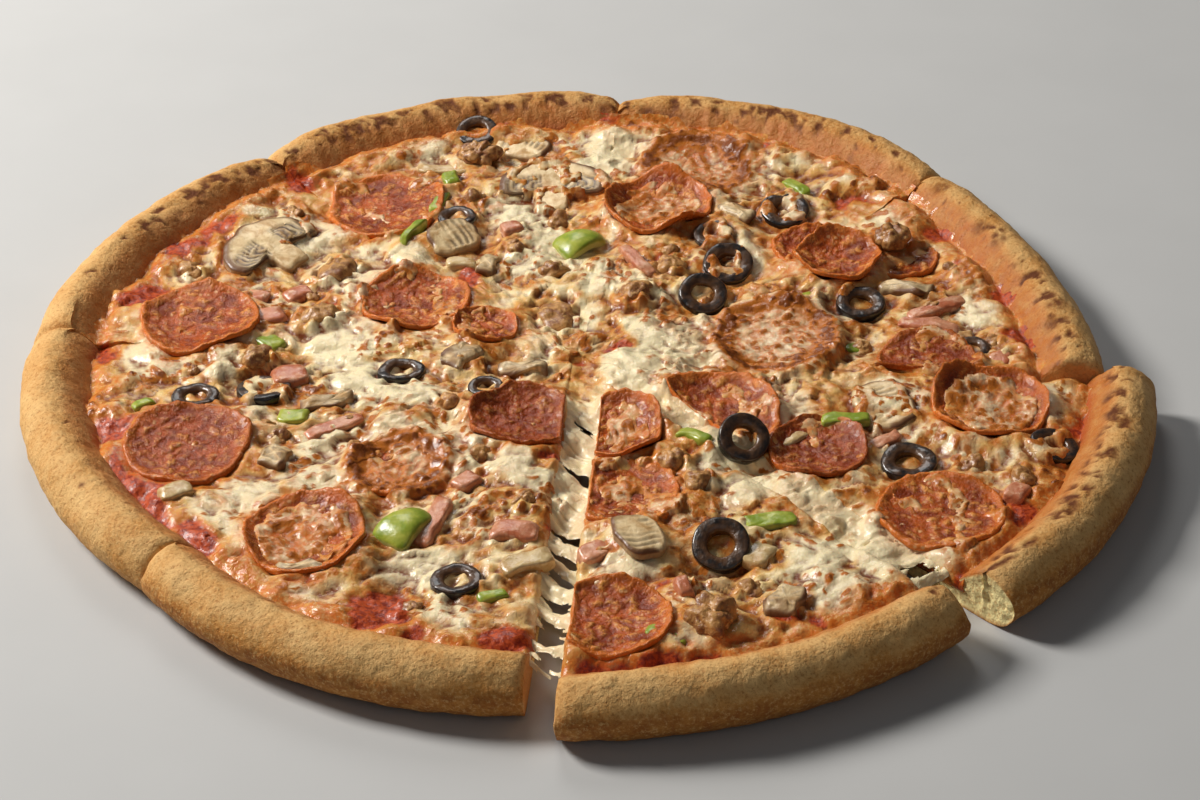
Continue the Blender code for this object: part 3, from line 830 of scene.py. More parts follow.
@dataclass(frozen=True)
class PepperoniFinish:
    """Cured sausage slices: red-brown with pale specks of fat, an oily sheen, a browned edge, and orange
    bubble tops that are partly a painted highlight.
    """

    meat: Colour = (0.47, 0.088, 0.010)
    dark: Colour = (0.22, 0.030, 0.004)
    # orange of crisped fat on the bubble tops, partly a painted highlight
    orange_crisp_and_glint: Colour = (0.80, 0.34, 0.070)
    fat: Colour = (0.80, 0.47, 0.22)
    edge: Colour = (0.72, 0.19, 0.024)

    def material(self) -> Material:
        """Make the material."""
        mix = Recipe("pepperoni")
        cloud = mix.noise(7.0, 4.0, 0.6, 0.3)
        fine = mix.noise(1.3, 3.0, 0.65)
        base = mix.blend(mix.ease(cloud, 0.38, 0.62), self.dark, self.meat)
        # bubble tops turned orange: crisped fat and partly a painted highlight
        high = mix.times(mix.tone("bubble_tops_and_glint"), mix.ease(fine, 0.38, 0.62, 0.15, 1.0))
        rusty = mix.blend(high, base, self.orange_crisp_and_glint)
        edged = mix.blend(mix.times(mix.tone("edge"), 0.8), rusty, self.edge)
        specks = mix.ease(mix.specks(2.6, 0.9), 0.34, 0.12, 0.0, 0.7)
        flecks = mix.times(specks, mix.ease(cloud, 0.44, 0.60))
        flecked = mix.blend(flecks, edged, self.fat)
        shaded = mix.times(mix.tone("shade"), mix.ease(fine, 0.65, 0.35, 0.45, 0.9))
        colour = mix.blend(shaded, flecked, self.dark)
        grain = mix.bump(mix.noise(0.7, 3.0, 0.6), 0.14)
        normal = mix.bump(fine, 0.60, grain)
        mix.set(Specular_IOR_Level=0.30, Coat_Weight=0.1, Coat_Roughness=0.05)
        return mix.finish(colour, mix.ease(fine, 0.35, 0.65, 0.18, 0.36), normal)


@dataclass(frozen=True)
class OliveFinish:
    """Black olive: glossy black skin and brown-black flesh on the cut faces and in the hole."""

    skin: Colour = (0.010, 0.008, 0.008)
    flesh: Colour = (0.075, 0.034, 0.014)
    inner: Colour = (0.12, 0.050, 0.016)

    def material(self) -> Material:
        """Make the material."""
        mix = Recipe("black_olive")
        cloud = mix.noise(3.0, 3.0, 0.6)
        cut = mix.blend(mix.ease(cloud, 0.35, 0.65), self.flesh, self.skin)
        faced = mix.blend(mix.tone("cut"), self.skin, cut)
        colour = mix.blend(mix.times(mix.tone("inner"), 0.85), faced, self.inner)
        normal = mix.bump(mix.noise(1.2, 3.0, 0.55), 0.30)
        mix.set(Specular_IOR_Level=0.35, Coat_Weight=0.5, Coat_Roughness=0.05)
        return mix.finish(colour, mix.ease(mix.tone("cut"), 0.0, 1.0, 0.20, 0.40), normal)


@dataclass(frozen=True)
class MushroomFinish:
    """Baked mushroom: grey-tan flesh, a browner skin round the cap and dark gills."""

    flesh: Colour = (0.90, 0.68, 0.37)
    tan: Colour = (0.54, 0.31, 0.11)
    skin: Colour = (0.16, 0.062, 0.018)
    gill: Colour = (0.060, 0.024, 0.009)

    def material(self) -> Material:
        """Make the material."""
        mix = Recipe("baked_mushroom")
        cloud = mix.noise(6.0, 4.0, 0.6, 0.3)
        base = mix.blend(mix.ease(cloud, 0.40, 0.68), self.flesh, self.tan)
        skinned = mix.blend(mix.tone("skin"), base, self.skin)
        colour = mix.blend(mix.tone("gill"), skinned, self.gill)
        grain = mix.bump(mix.noise(0.8, 3.0, 0.6), 0.14)
        normal = mix.bump(cloud, 0.5, grain)
        mix.set(Specular_IOR_Level=0.5, Coat_Weight=0.2, Coat_Roughness=0.2)
        return mix.finish(colour, mix.ease(cloud, 0.35, 0.65, 0.34, 0.55), normal)


@dataclass(frozen=True)
class GreenPepperFinish:
    """Green pepper: glossy green skin, paler where it is cut."""

    skin: Colour = (0.23, 0.31, 0.022)
    light: Colour = (0.42, 0.45, 0.060)
    flesh: Colour = (0.50, 0.50, 0.17)

    def material(self) -> Material:
        """Make the material."""
        mix = Recipe("green_pepper")
        cloud = mix.noise(5.0, 3.0, 0.55)
        skin = mix.blend(mix.ease(cloud, 0.38, 0.66), self.skin, self.light)
        colour = mix.blend(mix.tone("cut"), skin, self.flesh)
        normal = mix.bump(mix.noise(1.4, 3.0, 0.5), 0.14)
        mix.set(Specular_IOR_Level=0.4, Coat_Weight=0.2, Coat_Roughness=0.12, Subsurface_Weight=0.0)
        return mix.finish(colour, 0.32, normal)


@dataclass(frozen=True)
class MeatFinish:
    """Small baked meat, from brown minced sausage to pink ham."""

    name: str = "sausage_meat"
    base: Colour = (0.52, 0.25, 0.070)
    dark: Colour = (0.24, 0.082, 0.020)
    light: Colour = (0.72, 0.42, 0.15)
    grain: float = 1.6
    gloss: float = 0.42

    def material(self) -> Material:
        """Make the material."""
        mix = Recipe(self.name)
        cloud = mix.noise(self.grain * 3.0, 4.0, 0.6)
        fine = mix.noise(self.grain, 3.0, 0.6)
        base = mix.blend(mix.ease(cloud, 0.36, 0.62), self.dark, self.base)
        colour = mix.blend(mix.ease(fine, 0.50, 0.70, 0.0, 0.8), base, self.light)
        grain = mix.bump(mix.noise(0.6, 2.0, 0.6), 0.10)
        normal = mix.bump(fine, 0.4, grain)
        mix.set(Specular_IOR_Level=0.5, Coat_Weight=0.2, Coat_Roughness=0.2)
        return mix.finish(colour, self.gloss, normal)


@dataclass(frozen=True)
class FloorFinish:
    """Plain pale ground with a faint grain."""

    light: Colour = (0.56, 0.56, 0.55)
    shade: Colour = (0.52, 0.52, 0.51)

    def material(self) -> Material:
        """Make the material."""
        mix = Recipe("pale_floor")
        colour = mix.blend(mix.noise(40.0, 3.0, 0.5), self.light, self.shade)
        return mix.finish(colour, 0.75)


HAM_FINISH = MeatFinish("baked_ham", (0.64, 0.27, 0.14), (0.48, 0.13, 0.050), (0.80, 0.47, 0.29), 3.4,
                        0.32)
ONION_FINISH = MeatFinish("soft_onion", (0.66, 0.48, 0.23), (0.50, 0.30, 0.11), (0.78, 0.64, 0.38), 3.2,
                          0.28)


class Dressing:
    """Keeps one material of each kind, made on its first use."""

    def __init__(self) -> None:
        """Start with no materials."""
        self._made: dict[Slot, Material] = {}
        self._finishes = {
            Slot.CRUST: CrustFinish(), Slot.CHEESE: CheeseFinish(), Slot.PEPPERONI: PepperoniFinish(),
            Slot.OLIVE: OliveFinish(), Slot.MUSHROOM: MushroomFinish(), Slot.PEPPER: GreenPepperFinish(),
            Slot.SAUSAGE: MeatFinish(), Slot.HAM: HAM_FINISH, Slot.ONION: ONION_FINISH,
        }

    def __getitem__(self, slot: Slot) -> Material:
        """Return the material of a slot."""
        if slot not in self._made:
            self._made[slot] = self._finishes[slot].material()
        return self._made[slot]


DRESSING = Dressing()


def through(points: Sequence[tuple[float, float]], at: Array) -> Array:
    """Read a smooth curve through points.

    Args:
        points: Pairs of place and height, in rising order of place.
        at: The places to read.

    Returns:
        The heights there.
    """
    xs, ys = np.array(points, float).T
    slopes = np.gradient(ys, xs)
    index = np.clip(np.searchsorted(xs, at) - 1, 0, len(xs) - 2)
    span = xs[index + 1] - xs[index]
    t = unit((at - xs[index]) / span)
    rise = (2 * t ** 3 - 3 * t ** 2 + 1) * ys[index] + (-2 * t ** 3 + 3 * t ** 2) * ys[index + 1]
    lean = (t ** 3 - 2 * t ** 2 + t) * slopes[index] + (t ** 3 - t ** 2) * slopes[index + 1]
    return rise + span * lean


# Large burnt spots on the rim: place and size
BURNT_SPOTS = tuple(Patch(*each) for each in (
    (36, 155, 8), (28, 158, 5), (12, 162, 4), (103, 114, 5), (112, 104, 5), (101, 122, 2.5), (131, 94, 4),
    (142, 66, 4), (147, 55, 4), (158, 33, 2.5), (161, 12, 5), (158, 2, 4), (-154, -76, 1.8),
))

# How thickly the small blisters stand along the rim, by angle
BLISTERING = ((0, 0.7), (10, 0.6), (30, 0.45), (50, 0.6), (62, 0.85), (78, 0.6), (88, 0.8), (105, 1.0),
              (148, 0.95), (158, 0.6), (168, 0.2), (176, 0.05), (300, 0.1), (312, 0.8), (330, 1.0),
              (350, 0.9), (360, 0.7))


def rim_top(way_in: Array) -> Array:
    """Return the height of the rim's upper side at distances in from its outer edge."""
    crest = ((0, 10.5), (1.6, 15.4), (5.2, 19.0), (10.0, RIM_HEIGHT), (15.0, 18.8), (19.5, 14.8),
             (23.0, 10.4), (RIM_WIDTH, BASE_THICK))
    return through([(math.sqrt(place), height) for place, height in crest], np.sqrt(way_in))


def rim_under(way_in: Array) -> Array:
    """Return the height of the rim's lower side at distances in from its outer edge."""
    belly = ((0, 10.5), (1.2, 5.8), (5.0, 1.6), (12.0, 0.0), (RIM_WIDTH, 0.0))
    return through([(math.sqrt(place), height) for place, height in belly], np.sqrt(way_in))


@dataclass
class Crust:
    """A slice's base and rim as one closed mesh, with lumps, creases, blisters and torn ends."""

    piece: Slice
    rim_stations: int = 39
    base_stations: int = 3
    along: int = 124
    cap_rows: int = 12
    tip: float = 1.6
    end_round: float = 3.2
    end_drop: float = 1.3
    seam: float = 0.06
    seam_width: float = 4.0
    tones: ClassVar[tuple[str, ...]] = ("bake_and_shade", "slope", "blister", "crumb", "stain")

    def _chain(self) -> Pair:
        """Lay the closed section's points along the slice's angle.

        Returns:
            The points in rows round the section and columns along the rim, and each point's way in
            from the outer edge.
        """
        way_in = np.linspace(0, math.sqrt(RIM_WIDTH), self.rim_stations) ** 2
        top, under = rim_top(way_in), np.maximum(rim_under(way_in), 0.0)
        angle = np.linspace(self.piece.start, self.piece.end, self.along)
        reach = self.piece.reach_at(angle)
        foot = reach - RIM_WIDTH
        share = np.linspace(0, 1, self.base_stations + 1)[:-1]
        base = self.tip + share[:, None] * (foot[None, :] - self.tip)
        rim = reach[None, :] - way_in[::-1, None]
        radius = np.concatenate([base, rim, rim[::-1][1:], base[::-1]])
        level = np.full(self.base_stations, BASE_THICK)
        height = np.concatenate([level, top[::-1], under[1:], 0 * level])[:, None] + 0 * angle[None, :]
        inward = reach[None, :] - radius
        return self._uneven(radius, height, inward, angle), inward

    def _uneven(self, radius: Array, height: Array, inward: Array, angle: Array) -> Array:
        """Give the rim its long lumps, its pinched ends and its finer bumps.

        Args:
            radius: Distance of each point from the slice's tip.
            height: Height of each point.
            inward: Way in of each point from the outer edge.
            angle: Angle of each column.

        Returns:
            The points.
        """
        arc = np.radians(angle)[None, :] * NOMINAL_REACH + 0 * radius
        share = unit((height - BASE_THICK) / (RIM_HEIGHT - BASE_THICK))
        to_end = np.minimum(angle - self.piece.start, self.piece.end - angle)
        pinch = END_PINCH * unit(1 - to_end / 5.0)
        near_end = unit(1 - np.radians(to_end) * NOMINAL_REACH / self.end_round)
        pinch = (pinch + self.end_drop * near_end ** 2)[None, :]
        height = height + share * (RIM_LUMP * solid_noise(arc, height, RIM_LUMP_LENGTH) - pinch)
        outer = smooth(RIM_WIDTH / 2 + 1, RIM_WIDTH / 2 - 1, inward)
        swell = RIM_LUMP * solid_noise(arc[0], 0 * arc[0] + 50.0, RIM_LUMP_LENGTH)[None, :] - pinch
        radius = radius + outer * share * swell
        x, y = self.piece.place(radius, angle[None, :])
        x, y = self.piece.meet(x, y, self.seam, self.seam_width)
        points = np.stack([x, y, height], -1)
        normal = grid_normals(points)
        rim = smooth(RIM_WIDTH + 1, RIM_WIDTH - 3, inward) * smooth(0.2, 2.5, height)
        dents = (0.42 * waves(x, y, 9.0, 11, height) + 0.22 * waves(x, y, 4.0, 12, height)
                 + 0.16 * waves(x, y, 1.9, 13, height))
        dents += 0.45 * self._blisters(x, y, inward, share)
        ridges = 0.45 * smooth(10, 16, inward) * smooth(26, 20, inward) * (height > 4)
        dents += ridges * waves(arc, inward * 0.25, 4.5, 14)
        points += normal * (rim * dents)[..., None]
        points[..., 2] = np.maximum(points[..., 2], 0.0)
        return points

    @staticmethod
    def _blisters(x: Array, y: Array, inward: Array, upper: Array) -> Array:
        """Return where the rim is blistered.

        Args:
            x, y: Places.
            inward: Their way in from the outer edge.
            upper: How much each place looks up.

        Returns:
            Values from 0 to 1.
        """
        bearing = np.degrees(np.arctan2(y, x)) % 360
        amount = np.interp(bearing, *zip(*BLISTERING))
        along = np.radians(bearing) * NOMINAL_REACH
        value = (waves(along, 0.75 * inward, 5.6, 24) + 0.65 * waves(x, y, 2.7, 23)
                 + 0.6 * waves(along, 0 * along, 16.0, 30))
        centre = 12.6 + 2.0 * waves(along, 0 * along, 17.0, 29)
        band = smooth(5.5, 2.5, np.abs(inward - centre) + 1.5 * waves(x, y, 3.5, 27))
        found = band * smooth(0.05, 0.32, value + 0.9 * (amount - 0.86))
        for spot in BURNT_SPOTS:
            found = np.maximum(found, spot.share(x, y) * (0.8 + 0.9 * waves(x, y, 2.6, 28)))
        return unit(found * upper)

    def _finish_tones(self, points: Array, inward: Array) -> Tones:
        """Return the tones of the skin.

        Args:
            points: The points of the skin.
            inward: Their way in from the outer edge.

        Returns:
            Each tone's value at each point.
        """
        x, y, z = points[..., 0], points[..., 1], points[..., 2]
        upper = smooth(11, 17, z)
        blister = self._blisters(x, y, inward, upper)
        # Crest browning grows toward the back; its weakening toward the left is painted light on the left
        # crest
        back = smooth(-60, 140, y) * (0.15 + 0.85 * smooth(-150, -40, x))
        crest = upper * smooth(3, 8, inward) * smooth(22, 13, inward)
        patchy = 0.5 + 0.5 * waves(x, y, 14.0, 21, z)
        # Painted shade: the lower outer sides of the rim at the front and on the right are darkened through
        # the bake tone
        front = smooth(-60, -150, y) + 0.8 * smooth(90, 170, x)
        bake_and_shade = (0.08 + crest * (0.22 + 0.30 * back) * (0.35 + 0.9 * patchy) + 0.25 * smooth(9, 0, z)
                + 1.1 * front * smooth(19, 9, z)
                + 0.35 * blister)
        slope = smooth(11.5, 17, inward) * smooth(5.2, 7, z) * (0.80 + 0.28 * waves(x, y, 7.0, 22))
        # Painted light: the glaze is weaker toward the left, so the left inner slope is lighter
        slope *= 0.92 - 0.22 * smooth(-20, -130, x)
        stain = smooth(19, 24, inward) * smooth(5.2, 6.0, z) * smooth(-0.6, 0.35, waves(x, y, 12.0, 26))
        return {"bake_and_shade": bake_and_shade, "slope": slope, "blister": blister, "stain": 0.8 * stain}

    def _cap(self, chain: Array, side: Side) -> Shape:
        """Make the face of one cut, from the upper to the lower side.

        Args:
            chain: The points round the section at that cut.
            side: Which cut.

        Returns:
            The face's points in rows and columns, and their tones.
        """
        stations = (len(chain) + 1) // 2
        top = chain[:stations]
        under = chain[::-1][:stations]
        share = np.linspace(0, 1, self.cap_rows + 1)[:, None, None]
        points = top[None] * (1 - share) + under[None] * share
        into = np.array([*self.piece.inward(side), 0.0])
        inner = (4 * share * (1 - share))[..., 0] * smooth(0.0, 1.2, np.linalg.norm(top - under, axis=-1))
        x, y, z = points[..., 0], points[..., 1], points[..., 2]
        torn = side in self.piece.crumb_sides
        depth = (0.9 if torn else 0.35) * waves(x * 1.3, y * 1.3, 3.4, 31, z * 1.3)
        depth = depth + (0.55 if torn else 0.12) * waves(x, y, 1.5, 32, z) + (0.4 if torn else -0.5)
        points = points + into * (depth * inner)[..., None]
        thin = smooth(9, 6, top[:, 2])[None, :]
        crumb = np.maximum((0.95 if torn else 0.12), 0.9 * thin) * smooth(0.02, 0.4, inner)
        tones = {"bake_and_shade": 0.35 + 0 * x, "slope": (0.0 if torn else 0.45) + 0 * x, "crumb": crumb}
        return points, tones

    def build(self) -> None:
        """Make the crust and hand it over."""
        points, inward = self._chain()
        parts = MeshParts(self.tones)
        parts.add_grid(points, self._finish_tones(points, inward))
        for side, column in ((Side.START, 0), (Side.END, -1)):
            cap, tones = self._cap(points[:, column], side)
            parts.add_grid(cap, tones, flip=side is Side.END)
        parts.add_grid(np.stack([points[-1], points[0]]))
        parts.hand_over("dough_" + self.piece.name, Slot.CRUST, ["crust_" + self.piece.name])


def around(steps: int) -> Array:
    """Return bearings evenly round a circle, in one row."""
    return np.linspace(0, 2 * math.pi, steps + 1)[:-1][None, :]


@dataclass
class Topping:
    """A large topping: where it lies, how it is tilted and how much cheese covers it."""

    node: str
    x: float
    y: float
    width: float
    toward: float = 0.0
    tilt: float = 0.0
    curl: float = 0.0
    cover: float = 0.0
    trim: str = ""
    shade: float = 0.0
    level: float = 0.0
    thick: float = 1.7
    embed: float = 0.5
    meniscus: float = 9.0
    most_rise: float = 2.4
    overlap: float = 0.3
    overhang: float = 0.0
    sink: float = 0.9
    tones: ClassVar[tuple[str, ...]] = ()
    flip: ClassVar[bool] = False
    prefix: ClassVar[str] = ""
    slot: ClassVar[Slot] = Slot.CHEESE

    @property
    def seed(self) -> int:
        """Return a number of the topping's own."""
        return int(abs(self.x) * 7 + abs(self.y) * 13)

    @staticmethod
    def wobble(bearing: Array, size: float, seed: int) -> Array:
        """Return noise round a circle of that size."""
        return waves(np.cos(bearing) * size, np.sin(bearing) * size, 1.0, seed)

    def outline(self, bearing: Array) -> Array:
        """Return how far the topping reaches in each direction, seen from above."""
        return 0 * bearing + self.width / 2

    def clipped(self, bearing: Array) -> Array:
        """Return the outline, cut off along the cuts of the slice that it belongs to."""
        radius = self.outline(bearing)
        if not self.trim:
            return radius
        piece = SLICE_OF[self.trim]
        for side in Side:
            into = piece.inward(side)
            room = float(piece.depth(side, np.array(self.x), np.array(self.y))) - CUT_CLEARANCE
            toward = -(np.cos(bearing) * into[0] + np.sin(bearing) * into[1])
            limit = np.where(toward > 1e-3, room / np.maximum(toward, 1e-3), 1e6)
            radius = np.minimum(radius, np.maximum(limit, 0.5))
        return radius

    def rise(self, dx: Array, dy: Array) -> Array:
        """Return how much higher the underside is at places beside the middle."""
        turn = math.radians(self.toward)
        return math.tan(math.radians(self.tilt)) * (dx * math.cos(turn) + dy * math.sin(turn))

    def underside(self, x: Array, y: Array) -> Array:
        """Return the height of the topping's underside."""
        return self.level + self.rise(x - self.x, y - self.y)

    def outside(self, x: Array, y: Array) -> Array:
        """Return how far places are outside the outline, less than 0 inside it."""
        dx, dy = x - self.x, y - self.y
        return np.hypot(dx, dy) - self.clipped(np.arctan2(dy, dx))

    def body(self) -> Shape:
        """Return the topping's points where it lies, in rows and columns, and their tones."""
        raise NotImplementedError

    def settle(self, points: Array) -> None:
        """Set the level so that a mesh through these points lies where the solid does."""
        corner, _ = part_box(self.node)
        self.level += corner.z / MM - float(points[..., 2].min()) - self.sink

    def measure(self) -> None:
        """Set the level from the solid that the topping stands for."""
        self.settle(self.body()[0])

    def build(self) -> None:
        """Make the topping and hand it over."""
        points, tones = self.body()
        parts = MeshParts(self.tones)
        parts.add_grid(points, tones, closed=True, flip=self.flip)
        parts.hand_over(self.prefix + self.node, self.slot, [self.node])


@dataclass
class ThinSlice(Topping):
    """A topping that lies on the cheese as a thin slice."""

    rings: int = 20
    steps: int = 90
    probes: int = 40
    flip: ClassVar[bool] = True
    prefix: ClassVar[str] = "slice_"

    def sheet(self, share: Array, bearing: Array) -> Array:
        """Return points of the underside at shares of the way out."""
        radius = share * self.clipped(bearing)
        x, y = self.x + radius * np.cos(bearing), self.y + radius * np.sin(bearing)
        return np.stack([x, y, self.underside(x, y)], -1)

    def measure(self) -> None:
        """Set the level from the solid that the slice stands for."""
        bearing = np.linspace(0, 2 * math.pi, self.probes)
        self.settle(self.sheet(*np.meshgrid(np.linspace(0, 1, 9), bearing, indexing="ij")))

    def closed(self, flat: Array, lift: Array, wall_rows: int) -> Array:
        """Close the slice with an upper side and a wall.

        Args:
            flat: The points of its underside.
            lift: How far the upper side lies above them.
            wall_rows: Rows of the wall.

        Returns:
            All its points: upper side, wall and underside.
        """
        top = flat + np.stack([0 * lift, 0 * lift, lift], -1)
        side = np.linspace(0, 1, wall_rows + 1)[1:, None, None]
        wall = top[-1][None] * (1 - side) + flat[-1][None] * side
        return np.concatenate([top, wall, flat[::-1][1::3], flat[:1]])


@dataclass
class Pepperoni(ThinSlice):
    """A thin round slice of cured sausage with a curled, ruffled edge."""

    rings: int = 27
    steps: int = 94
    probes: int = 30
    meniscus: float = 10.0
    most_rise: float = 2.6
    overhang: float = 2.5
    sink: float = 1.5
    tones: ClassVar[tuple[str, ...]] = ("edge", "bubble_tops_and_glint", "shade")
    slot: ClassVar[Slot] = Slot.PEPPERONI

    def outline(self, bearing: Array) -> Array:
        """Return the slightly uneven round outline."""
        uneven = self.wobble(bearing, 1.5, self.seed) + 0.4 * self.wobble(bearing, 5, self.seed + 1)
        return self.width / 2 * (1 + 0.075 * uneven)

    def underside(self, x: Array, y: Array) -> Array:
        """Return the height of the curled underside."""
        dx, dy = x - self.x, y - self.y
        out = np.clip(np.hypot(dx, dy) / (self.width / 2), 0, 1.08)
        bearing = np.arctan2(dy, dx)
        ruffle = 1 + 0.35 * np.sin(3 * bearing + self.x) + 0.2 * np.sin(5 * bearing + self.y)
        return self.level + SURFACE.height(x, y) + self.rise(dx, dy) + self.curl * ruffle * out ** 3

    def body(self) -> Shape:
        """Return the slice's points where it lies, and their tones."""
        bearing = around(self.steps)
        share = np.sqrt(np.linspace(0, 1, self.rings))[:, None] * (1 + 0 * bearing)
        share = share * 0.5 + 0.5 * np.linspace(0, 1, self.rings)[:, None]
        flat = self.sheet(share, bearing)
        x, y = flat[..., 0], flat[..., 1]
        bubbles = np.abs(waves(x, y, 4.4, self.seed))
        grains = np.abs(waves(x, y, 2.3, self.seed + 1))
        blisters = 1.25 * bubbles + 0.65 * grains + 0.12 * waves(x, y, 1.1, self.seed + 2) - 0.4
        lip = 0.35 * smooth(0.86, 0.97, share) * smooth(1.0, 0.965, share)
        round_off = 0.35 * smooth(0.96, 1.0, share)
        points = self.closed(flat, self.thick + blisters + lip - round_off, 3)
        # the bubble tops, which are coloured orange, partly as a painted highlight
        rim, bubble_tops_and_glint = smooth(0.80, 1.0, share), smooth(0.22, 0.80, bubbles + 0.55 * grains)
        edge, peaks = (np.concatenate([tone, wall + np.zeros((3, self.steps)), tone[::-1][1::3], tone[:1]])
                       for tone, wall in ((rim, 1), (bubble_tops_and_glint, 0)))
        return points, {"edge": edge, "bubble_tops_and_glint": peaks, "shade": self.shade}


@dataclass
class Olive(Topping):
    """A slice of pitted black olive, a ring with a rounded section."""

    fill: float = 0.3
    hole: float = 0.46
    steps: int = 50
    rows: int = 24
    thick: float = 4.2
    embed: float = 2.0
    meniscus: float = 8.0
    most_rise: float = 2.4
    sink: float = 3.0
    tones: ClassVar[tuple[str, ...]] = ("cut", "inner")
    prefix: ClassVar[str] = "ring_"
    slot: ClassVar[Slot] = Slot.OLIVE

    def outside(self, x: Array, y: Array) -> Array:
        """Return how far places are outside the ring's wall, less than 0 within it."""
        wide = self.width / 4 * (1 - self.hole)
        return np.abs(np.hypot(x - self.x, y - self.y) - self.width / 2 + wide) - wide

    def underside(self, x: Array, y: Array) -> Array:
        """Return the height of the underside, which stands for the filling inside the hole."""
        in_hole = smooth(0.5, 0.3, np.hypot(x - self.x, y - self.y) / self.width)
        rise = self.rise(x - self.x, y - self.y)
        return self.level + rise + in_hole * (self.fill * self.thick - self.embed + 0.4)

    def ring(self, power: float = 0.5) -> Shape:
        """Return the ring's points before it is placed, and their tones.

        Args:
            power: How square its section is, from 1 for round to 0.

        Returns:
            The points and the tones.
        """
        bearing = around(self.steps)
        turn = np.linspace(0, 2 * math.pi, self.rows + 1)[:, None]
        wide = self.width / 4 * (1 - self.hole)
        out, up = (np.sign(part) * np.abs(part) ** power for part in (np.cos(turn), np.sin(turn)))
        radius = (self.width / 2 - wide + wide * out) * (1 + 0.07 * self.wobble(bearing, 0.8, self.seed))
        height = self.thick / 2 * (up + 1) * (1 - 0.10 * unit(-out))
        x, y = radius * np.cos(bearing), radius * np.sin(bearing)
        grain = 0.5 * waves(x, y, 5.0, self.seed + 3) + 0.25 * waves(x, y, 2.2, self.seed + 4)
        height = height + grain * unit(up)
        cut = smooth(0.55, 0.9, up) * smooth(0.99, 0.75, out) + 0 * bearing
        return np.stack([x, y, height], -1), {"cut": cut, "inner": smooth(0.0, -0.8, out) + 0 * bearing}

    def body(self) -> Shape:
        """Return the ring's points where it lies, and their tones."""
        points, tones = self.ring()
        turn = math.radians(self.toward)
        axis = Vector((-math.sin(turn), math.cos(turn), 0))
        lean = np.array(Matrix.Rotation(-math.radians(self.tilt), 3, axis))
        return points @ lean.T + np.array([self.x, self.y, self.level]), tones


def star_reach(outline: Sequence[tuple[float, float]], bearing: Array) -> Array:
    """Return how far a closed outline lies from the origin in each direction.

    Args:
        outline: The outline's corners, anticlockwise round the origin.
        bearing: The directions.

    Returns:
        The distances.
    """
    corners = np.array(outline, float)
    angle = np.unwrap(np.arctan2(corners[:, 1], corners[:, 0]))
    angle = np.append(angle, angle[0] + 2 * math.pi)
    ends = np.vstack([corners, corners[:1]])
    turned = (bearing - angle[0]) % (2 * math.pi) + angle[0]
    index = np.clip(np.searchsorted(angle, turned, side="right") - 1, 0, len(corners) - 1)
    first, last = ends[index], ends[index + 1]
    edge = last - first
    ray = np.stack([np.cos(turned), np.sin(turned)], -1)
    cross = ray[..., 0] * edge[..., 1] - ray[..., 1] * edge[..., 0]
    return (first[..., 0] * edge[..., 1] - first[..., 1] * edge[..., 0]) / np.where(cross == 0, 1e-9, cross)


